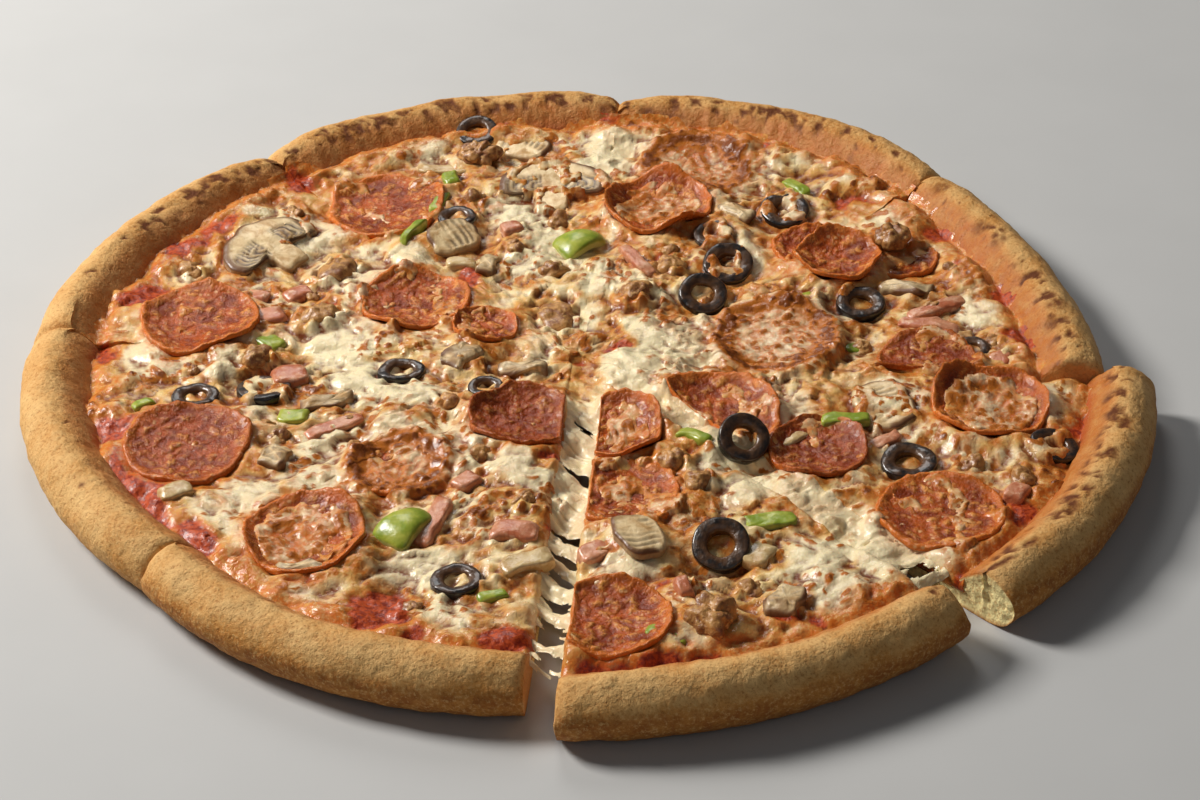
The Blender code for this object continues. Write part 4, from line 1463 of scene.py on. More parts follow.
@dataclass
class Mushroom(ThinSlice):
    """A slice of mushroom: a domed cap over a short stem, or a ribbed piece of a cap when small."""

    piece_width: float = 30.0
    thick: float = 3.0
    embed: float = 1.4
    meniscus: float = 9.0
    sink: float = 1.0
    tones: ClassVar[tuple[str, ...]] = ("skin", "gill")
    slot: ClassVar[Slot] = Slot.MUSHROOM

    def _corners(self) -> list[tuple[float, float]]:
        """Return the outline's corners about the middle, cap toward +Y."""
        if self.width < self.piece_width:
            turns = [math.radians(angle) for angle in range(0, 360, 8)]
            return [(0.50 * self.width * math.copysign(abs(math.cos(turn)) ** 0.7, math.cos(turn)),
                     0.38 * self.width * math.copysign(abs(math.sin(turn)) ** 0.7, math.sin(turn)))
                    for turn in turns]
        cap = [math.radians(angle) for angle in range(-20, 201, 5)]
        dome = [(0.5 * math.cos(a), 0.36 * math.sin(a)) for a in cap]
        stem = [(-0.36, -0.13), (-0.16, -0.10), (-0.13, -0.17), (-0.14, -0.30), (-0.12, -0.36), (0, -0.37),
                (0.12, -0.36), (0.14, -0.30), (0.13, -0.17), (0.16, -0.10), (0.36, -0.13)]
        return [(self.width * x, self.width * y) for x, y in dome + stem]

    def outline(self, bearing: Array) -> Array:
        """Return how far the slice reaches in each direction."""
        turn = math.radians(self.toward - 90)
        reach = star_reach(self._corners(), bearing - turn)
        return reach * (1 + 0.09 * self.wobble(bearing, 2.5, self.seed))

    def underside(self, x: Array, y: Array) -> Array:
        """Return the height of the draped underside."""
        droop = 0.9 * waves(x, y, 17.0, self.seed)
        return self.level + SURFACE.height(x, y) + self.rise(x - self.x, y - self.y) + droop

    def _marks(self, x: Array, y: Array, share: Array) -> Pair:
        """Return where the skin and the gills show.

        Args:
            x, y: Places.
            share: How far out the places are.

        Returns:
            Skin and gills, each from 0 to 1.
        """
        turn = math.radians(self.toward - 90)
        dx, dy = (x - self.x) / self.width, (y - self.y) / self.width
        u = dx * math.cos(turn) + dy * math.sin(turn)
        v = -dx * math.sin(turn) + dy * math.cos(turn)
        in_cap = smooth(-0.16, -0.08, v)
        skin = smooth(0.80, 0.93, share) * in_cap + 0.5 * smooth(0.90, 1.0, share)
        band = smooth(0.16, 0.09, np.abs(v - 0.01 + 0.25 * u * u)) * smooth(0.06, 0.12, np.abs(u))
        lines = 0.55 + 0.45 * np.sin(u * self.width * 4.2 + 3 * waves(x, y, 4.0, self.seed + 4))
        gill = band * smooth(0.47, 0.38, np.abs(u)) * lines
        if self.width < self.piece_width:
            ribs = 0.5 + 0.5 * np.sin(u * self.width * 2.6 + 4 * waves(x, y, 7.0, self.seed + 4))
            gill = 0.75 * ribs * smooth(0.95, 0.7, share)
            gill = gill * smooth(-0.4, 0.4, waves(x, y, 9.0, self.seed + 6))
        return unit(skin), unit(gill)

    def body(self) -> Shape:
        """Return the slice's points where it lies, and their tones."""
        bearing = around(self.steps)
        share = np.linspace(0, 1, self.rings)[:, None] * (1 + 0 * bearing)
        flat = self.sheet(share, bearing)
        x, y = flat[..., 0], flat[..., 1]
        skin, gill = self._marks(x, y, share)
        lift = self.thick - 0.8 * smooth(0.88, 1.0, share) - 0.5 * gill
        lift = lift + 0.25 * waves(x, y, 5.0, self.seed + 5) + 0.10 * waves(x, y, 2.0, self.seed + 6)
        points = self.closed(flat, lift, 4)
        rest = np.zeros((len(points) - len(flat), self.steps))
        return points, {"skin": np.concatenate([skin, rest + 0.7]), "gill": np.concatenate([gill, rest])}


def ball_directions(rows: int, steps: int) -> Array:
    """Return unit directions in rows from the lowest to the highest and columns round."""
    pitch = np.linspace(-math.pi / 2, math.pi / 2, rows)[:, None]
    bearing = around(steps)
    return np.stack([np.cos(pitch) * np.cos(bearing), np.cos(pitch) * np.sin(bearing),
                     np.sin(pitch) + 0 * bearing], -1)


def turned(points: Array, toward: float, x: float, y: float, z: float) -> Array:
    """Turn points about the vertical and take them to a place.

    Args:
        points: The points.
        toward: The angle in degrees.
        x: The place along X.
        y: The place along Y.
        z: The height.

    Returns:
        The placed points.
    """
    turn = math.radians(toward)
    cos, sin = math.cos(turn), math.sin(turn)
    return points @ np.array([[cos, -sin, 0], [sin, cos, 0], [0, 0, 1]]).T + np.array([x, y, z])


def crumbly(points: Array, seed: int, coarse: float, fine: float) -> Array:
    """Roughen a lump of minced meat.

    Args:
        points: The lump's points about its middle.
        seed: Which roughness.
        coarse: Depth of the crumbs.
        fine: Depth of the grain.

    Returns:
        The roughened points.
    """
    out = points / np.maximum(np.linalg.norm(points, axis=-1, keepdims=True), 1e-6)
    x, y, z = points[..., 0], points[..., 1], points[..., 2]
    depth = (coarse * (2.2 * np.abs(waves(x, y, 6.0, seed, z)) - 0.75) + fine * waves(x, y, 1.5, seed + 1, z)
             + coarse * (0.9 * np.abs(waves(x, y, 2.8, seed + 2, z)) - 0.2))
    return points + out * depth[..., None]


@dataclass
class Sausage(Topping):
    """A large crumbly lump of sausage meat."""

    thick: float = 7.0
    embed: float = 3.0
    meniscus: float = 6.0
    prefix: ClassVar[str] = "lump_"
    slot: ClassVar[Slot] = Slot.SAUSAGE

    def body(self) -> Shape:
        """Return the lump's points where it lies."""
        size = np.array([self.width, self.width * 0.84, self.width * 0.58]) / 2
        ball = crumbly(ball_directions(40, 64) * size, self.seed, 1.5, 0.35)
        return turned(ball, self.toward, self.x, self.y, self.level), {}

    def underside(self, x: Array, y: Array) -> Array:
        """Return the height of the lump's lower part."""
        return 0 * x + self.level - 0.22 * self.width


def rounded_bar(length: float, width: float, height: float, rows: int, steps: int, square: float) -> Array:
    """Return the points of a bar with soft edges about its middle.

    Args:
        length: Size along X.
        width: Size along Y.
        height: Size along Z.
        rows: Rows from the lowest to the highest point.
        steps: Points round each row.
        square: How square its corners are, from 0 for round to 1.

    Returns:
        The points in rows and columns.
    """
    power = 1 - 0.82 * square
    away = ball_directions(rows, steps)
    flat = np.maximum(np.hypot(away[..., 0], away[..., 1]), 1e-9)
    unit = away[..., :2] / flat[..., None]
    plan = np.sign(unit) * np.abs(unit) ** power
    rise = np.sign(away[..., 2]) * np.abs(away[..., 2]) ** power
    spread = flat ** power
    return np.stack([plan[..., 0] * spread * length / 2, plan[..., 1] * spread * width / 2,
                     rise * height / 2], -1)


@dataclass
class GreenPepper(Topping):
    """A chunk of green pepper, a bent piece of the fruit's wall."""

    thick: float = 4.0
    embed: float = 2.0
    meniscus: float = 6.0
    tones: ClassVar[tuple[str, ...]] = ("cut",)
    prefix: ClassVar[str] = "chunk_"
    slot: ClassVar[Slot] = Slot.PEPPER

    def body(self) -> Shape:
        """Return the chunk's points where it lies, and where its flesh shows."""
        bar = rounded_bar(self.width, self.width * 0.62, 3.8, 22, 72, 0.75)
        share = bar[..., 0] / (self.width / 2)
        side = bar[..., 1] / (self.width * 0.31)
        cut = smooth(0.6, 1.0, np.maximum(np.abs(side), np.abs(share))) * smooth(1.2, 0.2, bar[..., 2])
        bar[..., 1] *= 1 - 0.3 * share
        bar[..., 2] += 0.2 * self.width * (1 - share * share) - 1.2 * side * side
        bar[..., 2] += 0.35 * waves(bar[..., 0], bar[..., 1], 6.0, self.seed)
        return turned(bar, self.toward, self.x, self.y, self.level), {"cut": cut}

    def underside(self, x: Array, y: Array) -> Array:
        """Return the height of the chunk's lower part."""
        return 0 * x + self.level - 1.5

    def outline(self, bearing: Array) -> Array:
        """Return how far the chunk reaches in each direction."""
        turn = bearing - math.radians(self.toward)
        return 0.5 * self.width / np.sqrt(np.cos(turn) ** 2 + (np.sin(turn) / 0.62) ** 2)


def numbered(kind: type, name: str, rows: Sequence[tuple]) -> list[Topping]:
    """Make the toppings of a kind, numbered as their solids are.

    Args:
        kind: The topping's class.
        name: The kind's name in its nodes.
        rows: For each: place, width, direction, tilt, curl, cheese cover, slice that trims it, shade.

    Returns:
        The toppings.
    """
    return [kind(f"{name}_{number:02d}", *row) for number, row in enumerate(rows, 1)]


PEPPERONI = numbered(Pepperoni, "pepperoni", (
    (-68, 102, 42, 0, 0, 2.5, 0.30), (44, 125, 40, 0, 0, 1.5, 0.85), (30, 95, 38, 90, 2, 6.0, 0.45),
    (84, 68, 29, 0, 0, 1.0, 0.05), (113, 58, 26, 0, 0, 1.0, 0.10), (91, 54, 30, 100, 4, 4.5, 0.12),
    (66, 8, 42, 0, 0, 3.0, 0.85), (116, -9, 34, 90, 3, 2.0, 0.35, "b", 0.6),
    (-128, 26, 41, 0, 0, 3.0, 0.08), (-125, -46, 41, 95, 5, 2.0, 0.14, "", 0.4),
    (-84, -97, 38, 70, 3, 4.5, 0.50), (-57, -61, 31, 90, 4, 2.0, 0.66),
    (-18, -37, 34, 120, 6, 4.0, 0.15, "e", 0.8), (-55, 37, 38, 0, 0, 3.0, 0.30),
    (-31, 19, 22, 200, 6, 2.5, 0.25), (12, -44, 31, 70, 6, 5.0, 0.35, "d"),
    (44, -37, 42, 90, 5, 4.0, 0.30, "c"), (14, -78, 36, 0, 0, 2.0, 0.42, "d"),
    (9, -143, 37, 60, 3, 3.5, 0.10, "d"), (76, -57, 32, 80, 3, 3.0, 0.25, "", 0.8),
    (133, -36, 38, 90, 5, 5.0, 0.48, "c"), (111, -92, 40, 0, 0, 2.5, 0.32),
))
MUSHROOMS = numbered(Mushroom, "mushroom", (
    (-107, 73, 38, 140, 6, 0, 0.16), (-19, 144, 21, 60, 10, 0, 0.15), (-8, 112, 40, 90, 6, 0, 0.40),
    (-43, 78, 19, 120, 20, 0, 0.0), (18, -105, 20, 200, 14, 0, 0.05), (99, -34, 24, 20, 8, 0, 0.4, "c"),
))
SAUSAGES = numbered(Sausage, "sausage", ((-35, 134, 16), (111, 64, 15, 40), (38, -146, 17, 80)))
PEPPERS = numbered(GreenPepper, "pepper", ((-53, -94, 19, 50, 14), (2, 72, 18, 30, 14)))
OLIVES = numbered(Olive, "olive", (
    (-36, 152, 16, 90, 16, 0, 0.10), (75, 92, 18, 90, 10, 0, 0.40), (53, 58, 18, 100, 20, 0, 0.30),
    (49, 75, 14, 60, 12, 0, 0.45), (43, 38, 17, 110, 24, 0, 0.05), (97, 30, 17, 90, 6, 0, 0.08),
    (52, -54, 17, 110, 36, 0, 0.10), (43, -107, 18, 80, 30, 0, 0.12), (104, -63, 18, 90, 4, 0, 0.15),
    (150, -58, 16, 150, 14, 0, 0.45), (-103, -15, 18, 270, 8, 0, 0.35),
))
LARGE = PEPPERONI + MUSHROOMS + SAUSAGES + PEPPERS + OLIVES


class BitShape(Enum):
    """Shapes of the small toppings."""

    NUGGET = "nugget"
    STRIP = "strip"
    RING = "ring"


@dataclass(frozen=True)
class Bit:
    """A small topping that sits in the cheese."""

    x: float
    y: float
    length: float
    width: float
    height: float
    toward: float = 0.0

    @property
    def seed(self) -> int:
        """Return a number of the bit's own."""
        return int(abs(self.x) * 11 + abs(self.y) * 5) + 1

    def outside(self, x: Array, y: Array) -> Array:
        """Return how far places are outside the bit, less than 0 inside it."""
        turn = math.radians(self.toward)
        u = (x - self.x) * math.cos(turn) + (y - self.y) * math.sin(turn)
        v = -(x - self.x) * math.sin(turn) + (y - self.y) * math.cos(turn)
        share = np.hypot(u / (self.length / 2), v / (self.width / 2))
        return (share - 1) * min(self.length, self.width) / 2

    @property
    def middle(self) -> float:
        """Return the height of the bit's middle."""
        x, y = np.array(self.x), np.array(self.y)
        return float(SURFACE.height(x, y) + SURFACE.lump(x, y)) + 0.15 * self.height


def bits(rows: Sequence[tuple]) -> list[Bit]:
    """Make small toppings from rows of place, length, width, height and direction."""
    return [Bit(*row) for row in rows]


def crumbs(apart: float = 25.0, reach: float = 142.0) -> list[Bit]:
    """Scatter small crumbs of sausage meat between the large toppings.

    Args:
        apart: How far apart they are on average.
        reach: How far from the middle they lie at most.

    Returns:
        The crumbs.
    """
    count = int(reach // apart)
    found = []
    for row, column in itertools.product(range(-count, count + 1), repeat=2):
        key = (np.array(row), np.array(column), np.array(0))
        chance = [float(lattice(*key, CRUMB_SEED + each)) / (WORD + 1) for each in range(4)]
        x, y = (row + 0.8 * chance[0] - 0.4) * apart, (column + 0.8 * chance[1] - 0.4) * apart
        size = 6.0 + 4.0 * chance[2]
        clear = min(math.hypot(x - each.x, y - each.y) - each.width / 2 for each in LARGE)
        bearing = math.degrees(math.atan2(y, x)) % 360
        piece = next((each for each in SLICES if each.start <= bearing < each.end), None)
        if clear < 5 or math.hypot(x, y) > reach or piece is None or chance[3] < 0.25:
            continue
        if min(float(piece.depth(side, np.array(x), np.array(y))) for side in Side) > 7:
            found.append(Bit(x, y, size, 0.8 * size, 0.7 * size, 360 * chance[3]))
    return found


NUGGETS = bits((
    (-84, 120, 10, 8, 7, 20), (-83, 57, 18, 13, 10, 60), (-36, 105, 9, 8, 7, 0), (-6, 90, 10, 8, 7, 70),
    (-8, 55, 11, 9, 8, 30), (33, 58, 12, 10, 8, 10), (21, 36, 12, 10, 8, 45), (-134, 61, 11, 9, 7, 80),
    (-87, 27, 15, 11, 9, 15), (-107, 3, 13, 11, 9, 50), (-7, 28, 19, 14, 6, 100), (-31, -55, 9, 9, 7, 0),
    (30, -62, 11, 9, 7, 20), (37, -74, 9, 9, 7, 50), (124, -66, 10, 9, 7, 70), (138, -76, 11, 9, 8, 110),
    (139, 4, 10, 8, 6, 40),
)) + crumbs()
HAM_STRIPS = bits((
    (-22, 81, 8, 7, 7, 20), (22, 60, 21, 5, 5, 120), (122, 25, 23, 6, 4, 25), (118, 12, 21, 6, 4, 165),
    (140, -8, 8, 7, 5, 40), (-96, 44, 10, 7, 6, 30), (-104, 29, 10, 9, 6, 15), (-95, -7, 12, 10, 6, 10),
    (-79, -36, 21, 6, 5, 30), (-45, -90, 25, 7, 6, 72), (-20, -99, 15, 9, 6, 175), (-35, -71, 9, 7, 6, 40),
    (4, -108, 10, 8, 6, 30), (97, -52, 13, 5, 5, 30), (135, -84, 9, 7, 6, 60), (31, -129, 9, 5, 9, 100),
    (-110, 42, 9, 6, 5, 150),
))
PEPPER_BITS = bits((
    (-45, 120, 9, 6, 6, 100), (-49, 102, 15, 5, 6, 75), (-57, 80, 18, 3, 5, 65), (80, 108, 14, 5, 5, 120),
    (76, 34, 12, 4, 4, 10), (90, 3, 14, 5, 4, 160), (-104, 14, 11, 8, 5, 140), (-92, -30, 10, 7, 5, 0),
    (-141, -23, 8, 4, 4, 30), (37, -51, 12, 5, 6, 150), (58, -95, 17, 7, 4, 10), (25, -151, 13, 6, 5, 160),
    (86, -42, 16, 6, 4, 5), (-26, -128, 9, 4, 4, 20),
))
OLIVE_BITS = bits((
    (-42, 90, 14, 14, 6, 0), (131, -1, 13, 13, 5, 0), (-125, -19, 16, 14, 5, 0), (-37, -120, 16, 15, 5, 0),
    (-30, -18, 12, 12, 7, 0), (-58, -6, 16, 13, 5, 0),
))
MUSHROOM_BITS = bits((
    (-30, 60, 12, 7, 6, 70), (57, 90, 15, 7, 4, 140), (113, 37, 19, 6, 4, 165), (-82, -22, 18, 7, 5, 10),
    (-96, -54, 11, 9, 6, 60), (-38, 0, 14, 10, 5, 50), (60, -137, 13, 10, 8, 70), (-18, -5, 17, 6, 6, 175),
    (-84, -112, 18, 4, 4, 170),
))
ONION_BITS = bits((
    (-47, 128, 22, 5, 4, 170), (-40, 61, 11, 5, 5, 170), (-126, -73, 11, 7, 5, 20),
    (-16, -113, 17, 8, 6, 25), (54, -111, 11, 9, 5, 60), (69, -48, 14, 8, 5, 30),
))
SMALL = NUGGETS + HAM_STRIPS + PEPPER_BITS + OLIVE_BITS + MUSHROOM_BITS + ONION_BITS


@dataclass
class Relief:
    """Heights and tones of the top at many places."""

    height: Array
    white: Array
    thin: Array
    oil: Array
    toast: Array
    sauce: Array
    beads: Array
    shreds: Array

    def tones(self) -> Tones:
        """Return the tones by their names, with painted shade marked in the hollows."""
        # Painted shade: places lower than their blurred surroundings get a tone that darkens them
        hollow = 0 * self.height
        for spread, least, full in ((2, 0.03, 0.45), (7, 0.25, 3.2)):
            blurred = self.height
            for axis in (0, 1, 0, 1):
                blurred = sum(np.roll(blurred, shift, axis) for shift in range(-spread, spread + 1))
                blurred = blurred / (2 * spread + 1)
            hollow = hollow + unit((blurred - self.height - least) / full)
        hollow = unit(hollow)
        edge = 8
        hollow[:edge], hollow[-edge:], hollow[:, :edge], hollow[:, -edge:] = 0, 0, 0, 0
        return {"white": self.white, "thin": self.thin, "oil": self.oil, "toast": self.toast,
                "sauce": self.sauce, "hollow": hollow}


class CheeseRelief:
    """Works out the cheese and sauce of the whole top, and how they lie round the toppings."""

    tones = ("white", "thin", "oil", "toast", "sauce", "hollow")

    def __init__(self, large: Sequence[Topping], small: Sequence[Bit]) -> None:
        """Keep the toppings, the lowest first.

        Args:
            large: The large toppings, measured.
            small: The small ones.
        """
        self.large = sorted(large, key=lambda each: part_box(each.node)[0].z)
        self.small = list(small)

    def bare(self, x: Array, y: Array, foot: Array) -> Relief:
        """Return the top without its toppings.

        Args:
            x, y: Places.
            foot: How far each place is inside the rim's foot.

        Returns:
            The relief there.
        """
        wx = x + 4.5 * waves(x, y, 21.0, 41) + 1.6 * waves(x, y, 7.0, 42)
        wy = y + 4.5 * waves(x, y, 21.0, 43) + 1.6 * waves(x, y, 7.0, 44)
        white = sum(each.share(wx, wy) for each in WHITE_MOUNDS)
        bare = sum(each.share(wx, wy) for each in BARE_SAUCE)
        toasted = sum(each.share(x, y) for each in TOASTED)
        melt = (0.72 + 0.62 * waves(wx, wy, 19.0, 45) + 0.55 * waves(wx, wy, 8.5, 46)
                + 0.28 * waves(x, y, 3.5, 47) + 1.2 * white - 1.2 * bare)
        melt -= 0.12 * smooth(8.0, 0.0, foot + 3.0 * waves(x, y, 9.0, 48))
        cover = smooth(0.02, 0.60, melt)
        pillows = np.sqrt(waves(wx, wy, 9.5, 49) ** 2 + 0.012)
        shreds = np.sqrt(waves(wx, wy, 4.6, 50) ** 2 + 0.008)
        fine = waves(x, y, 1.8, 51)
        region = np.clip(0.42 + 0.80 * toasted + 0.95 * waves(x, y, 24.0, 56) - 0.30 * white, 0.0, 1.6)
        far, odds = cells(wx, wy, 13.0, 59)
        buried = np.sqrt(unit(1 - (far / (3.2 + 3.6 * odds)) ** 2)) * (odds > 0.35) * (1 - white)
        buried = unit(buried)
        away, chance = cells(wx, wy, 3.3, 53)
        size = 0.75 + 1.25 * chance
        beads = np.sqrt(unit(1 - (away / size) ** 2)) * (chance > 0.38)
        lively = np.clip(region, 0, 1.2)
        height = (SURFACE.height(x, y) + 0.8 * SURFACE.lump(x, y) - 0.4 + 0.6 * waves(wx, wy, 6.5, 58)
                  + cover * (0.8 + 2.0 * pillows + 0.7 * shreds + beads * (0.15 + 0.60 * lively))
                  + 1.6 * np.clip(white, 0, 1.4) + 0.10 * fine
                  + (1 - cover) * (1.0 * shreds + 0.9 * pillows + 0.35 * fine) + 1.5 * buried)
        peaks = smooth(0.15, 0.70, pillows + 0.5 * shreds + 0.25 * waves(x, y, 5.0, 52))
        blotch = smooth(0.05, 0.60, waves(x, y, 5.5, 54) + 0.4 * waves(x, y, 2.2, 55))
        speck = smooth(0.35, 0.90, beads)
        toast = cover * region * (speck * (0.45 + 0.90 * peaks) + 0.90 * blotch * peaks)
        thin = (1 - smooth(0.35, 0.95, melt)) + 0.6 * toasted * smooth(0.15, -0.35, waves(x, y, 7.0, 57))
        thin += buried * (0.25 + 0.8 * waves(x, y, 6.0, 60))
        sauce = 1 - smooth(0.04, 0.30, melt)
        milk = unit(0.9 * white + 0.7 * smooth(0.6, 1.2, melt) - 0.35 * toasted)
        return Relief(height, milk, unit(thin), 0 * x, toast, sauce, beads, shreds)

    def lie_round(self, relief: Relief, x: Array, y: Array) -> None:
        """Bring the cheese up to the large toppings and over parts of them.

        Args:
            relief: The relief, which is changed.
            x, y: Places.
        """
        for item in self.large:
            reach = item.width / 2 + item.meniscus + 6
            near = (np.abs(x - item.x) < reach) & (np.abs(y - item.y) < reach)
            if not near.any():
                continue
            px, py = x[near], y[near]
            out = item.outside(px, py)
            under = item.underside(px, py)
            was = relief.height[near]
            ragged = waves(px, py, 9.0, item.seed + 7) + 0.5 * waves(px, py, 4.0, item.seed + 14)
            limit = under + 0.7 * item.thick
            target = under + item.embed - 0.5 + 1.5 * ragged
            spread = item.meniscus * (1 + 0.5 * waves(px, py, 8.0, item.seed + 8))
            free_edge = item.overhang * smooth(-0.3, 0.4, waves(px, py, 12.0, item.seed + 15))
            share = smooth(1.0, 0.0, (out + free_edge) / np.maximum(spread, 1.0))
            target = np.minimum(target, was + item.most_rise)
            height = was + share * (target - was)
            height = np.where(out < 0, np.minimum(height, limit), height)
            height = np.minimum(height, limit + item.overlap + 1.5 * np.maximum(out, 0))
            relief.sauce[near] *= np.where(out < 2.0, 0.5, 1.0)
            if isinstance(item, Pepperoni):
                oil = np.exp(-np.clip(out, 0, 50) / 4.5) * (0.75 + 0.8 * waves(px, py, 6.0, item.seed + 9))
                relief.oil[near] = np.maximum(relief.oil[near], unit(oil))
            if item.cover > 0:
                height = self._cover(relief, item, near, px, py, out, height)
            relief.height[near] = height

    def _cover(self, relief: Relief, item: Topping, near: Array, px: Array, py: Array, out: Array,
               height: Array) -> Array:
        """Lay patches of cheese over a topping.

        Args:
            relief: The relief, whose tones are changed.
            item: The topping.
            near: Which places lie near it.
            px: Those places along X.
            py: Those places along Y.
            out: How far they are outside the outline.
            height: Heights there without the patches.

        Returns:
            Heights with the patches.
        """
        top = item.underside(px, py) + item.thick
        patch = (waves(px, py, 10.0, item.seed + 10) + 0.5 * waves(px, py, 4.2, item.seed + 11)
                 + 2.4 * (item.cover - 0.5))
        middle = 1 - np.clip(np.hypot(px - item.x, py - item.y) / (item.width / 2), 0, 1.3)
        patch = patch + (0.4 + 1.6 * max(item.cover - 0.5, 0.0)) * middle - 0.25 * smooth(0.0, 3.0, out)
        if item.curl >= 4.5:
            patch = patch - 1.2 * smooth(-5.0, -1.0, out) + 0.6 * middle
        else:
            patch = patch + 0.40 * np.exp(-((out + 1.0) / 3.5) ** 2)
        beads, shreds = relief.beads[near], relief.shreds[near]
        round_edge = np.sqrt(unit(patch * 1.6))
        sheet = top + round_edge * (0.5 + 1.3 * shreds + 0.6 * beads + 0.5 * unit(patch)) - 0.3
        fall = out + 3.0 * (1 - unit(2.5 * patch))
        drop = smooth(-0.5, 5.0, fall) * np.maximum(top - height, 0)
        covered = np.where(patch > 0, np.maximum(height, sheet - drop), height)
        share = smooth(0.0, 0.12, patch) * smooth(3.5, 0.5, out)
        brown = share * (0.04 + 0.85 * smooth(0.45, 0.95, beads) + 0.35 * smooth(0.40, 0.80, shreds))
        if item.cover > 0.6:
            ring = np.exp(-((out + 2.5) / 3.0) ** 2) * (0.95 + 0.9 * waves(px, py, 5.0, item.seed + 12))
            brown = brown + share * np.clip(ring, 0, 1.1)
        relief.white[near] = np.maximum(relief.white[near], 0.85 * share * smooth(0.15, 0.6, patch))
        relief.toast[near] = relief.toast[near] * (1 - share) + brown
        relief.thin[near] = np.maximum(relief.thin[near], 0.55 * smooth(0.75, 0.1, patch) * share)
        relief.sauce[near] *= 1 - share
        return covered

    def lie_round_bits(self, relief: Relief, x: Array, y: Array) -> None:
        """Bring the cheese up to the small toppings.

        Args:
            relief: The relief, which is changed.
            x, y: Places.
        """
        for bit in self.small:
            reach = bit.length / 2 + 4
            near = (np.abs(x - bit.x) < reach) & (np.abs(y - bit.y) < reach)
            if not near.any():
                continue
            px, py = x[near], y[near]
            out = bit.outside(px, py)
            ragged = waves(px, py, 4.0, bit.seed + 3)
            target = bit.middle + 0.14 * bit.height + 0.45 * bit.height * ragged + 0.6 * relief.shreds[near]
            share = 0.9 * smooth(4.5, 0.3, out)
            was = relief.height[near]
            relief.height[near] = was + share * (target - was)

    def read(self, piece: Slice, x: Array, y: Array, foot: Array) -> Relief:
        """Return the whole relief of a slice.

        Args:
            piece: The slice.
            x, y: Places.
            foot: How far each place is inside the rim's foot.

        Returns:
            The relief there.
        """
        relief = self.bare(x, y, foot)
        self.lie_round_bits(relief, x, y)
        self.lie_round(relief, x, y)
        self._climb(relief, x, y, foot, piece.climb, piece.bank)
        for side in Side:
            depth = np.maximum(piece.depth(side, x, y), 0)
            if side in piece.free_sides:
                drop = 1.8 * unit(1 - depth / 2.2) ** 2 * (1 + 0.6 * waves(x, y, 6.0, 61))
            else:
                seam = smooth(0.0, 0.8, waves(x, y, 22.0, 62))
                drop = 1.1 * seam * np.exp(-(depth / 1.3) ** 2)
            relief.height -= drop
        relief.height = np.maximum(relief.height, CHEESE_FLOOR + 0.6)
        return relief

    @staticmethod
    def _climb(relief: Relief, x: Array, y: Array, foot: Array, climb: float, bank: float
               ) -> None:
        """Take the sauce and cheese up to the rim and a little up its slope.

        Args:
            relief: The relief, which is changed.
            x, y: Places.
            foot: How far each place is inside the rim's foot.
            climb: How far up the slope it goes.
            bank: How much higher it is piled there.
        """
        way_in = np.clip(RIM_WIDTH + foot, 0.0, RIM_WIDTH)
        ragged = 2.0 * waves(x, y, 8.5, 63) + 0.8 * waves(x, y, 3.2, 65)
        film = rim_top(way_in) + 0.25 + 0.4 * waves(x, y, 6.0, 66) + 0.4 * relief.shreds + 0.4 * relief.beads
        film = film - 1.5 * smooth(climb - 5.5, climb - 0.3, -foot + ragged)
        relief.height = relief.height + bank * smooth(15.0, -1.0, foot)
        relief.height = np.maximum(relief.height - 0.25 * np.clip(-foot, 0, 20) ** 1.3, film)
        oil = smooth(9.0, -2.0, foot + 5.0 * waves(x, y, 8.0, 64))
        relief.oil = np.maximum(relief.oil, 0.85 * oil * (1 - 0.6 * relief.beads))
        relief.thin = np.maximum(relief.thin, 0.9 * smooth(4.0, -2.0, foot))
        relief.white = relief.white * (1 - 0.8 * oil)


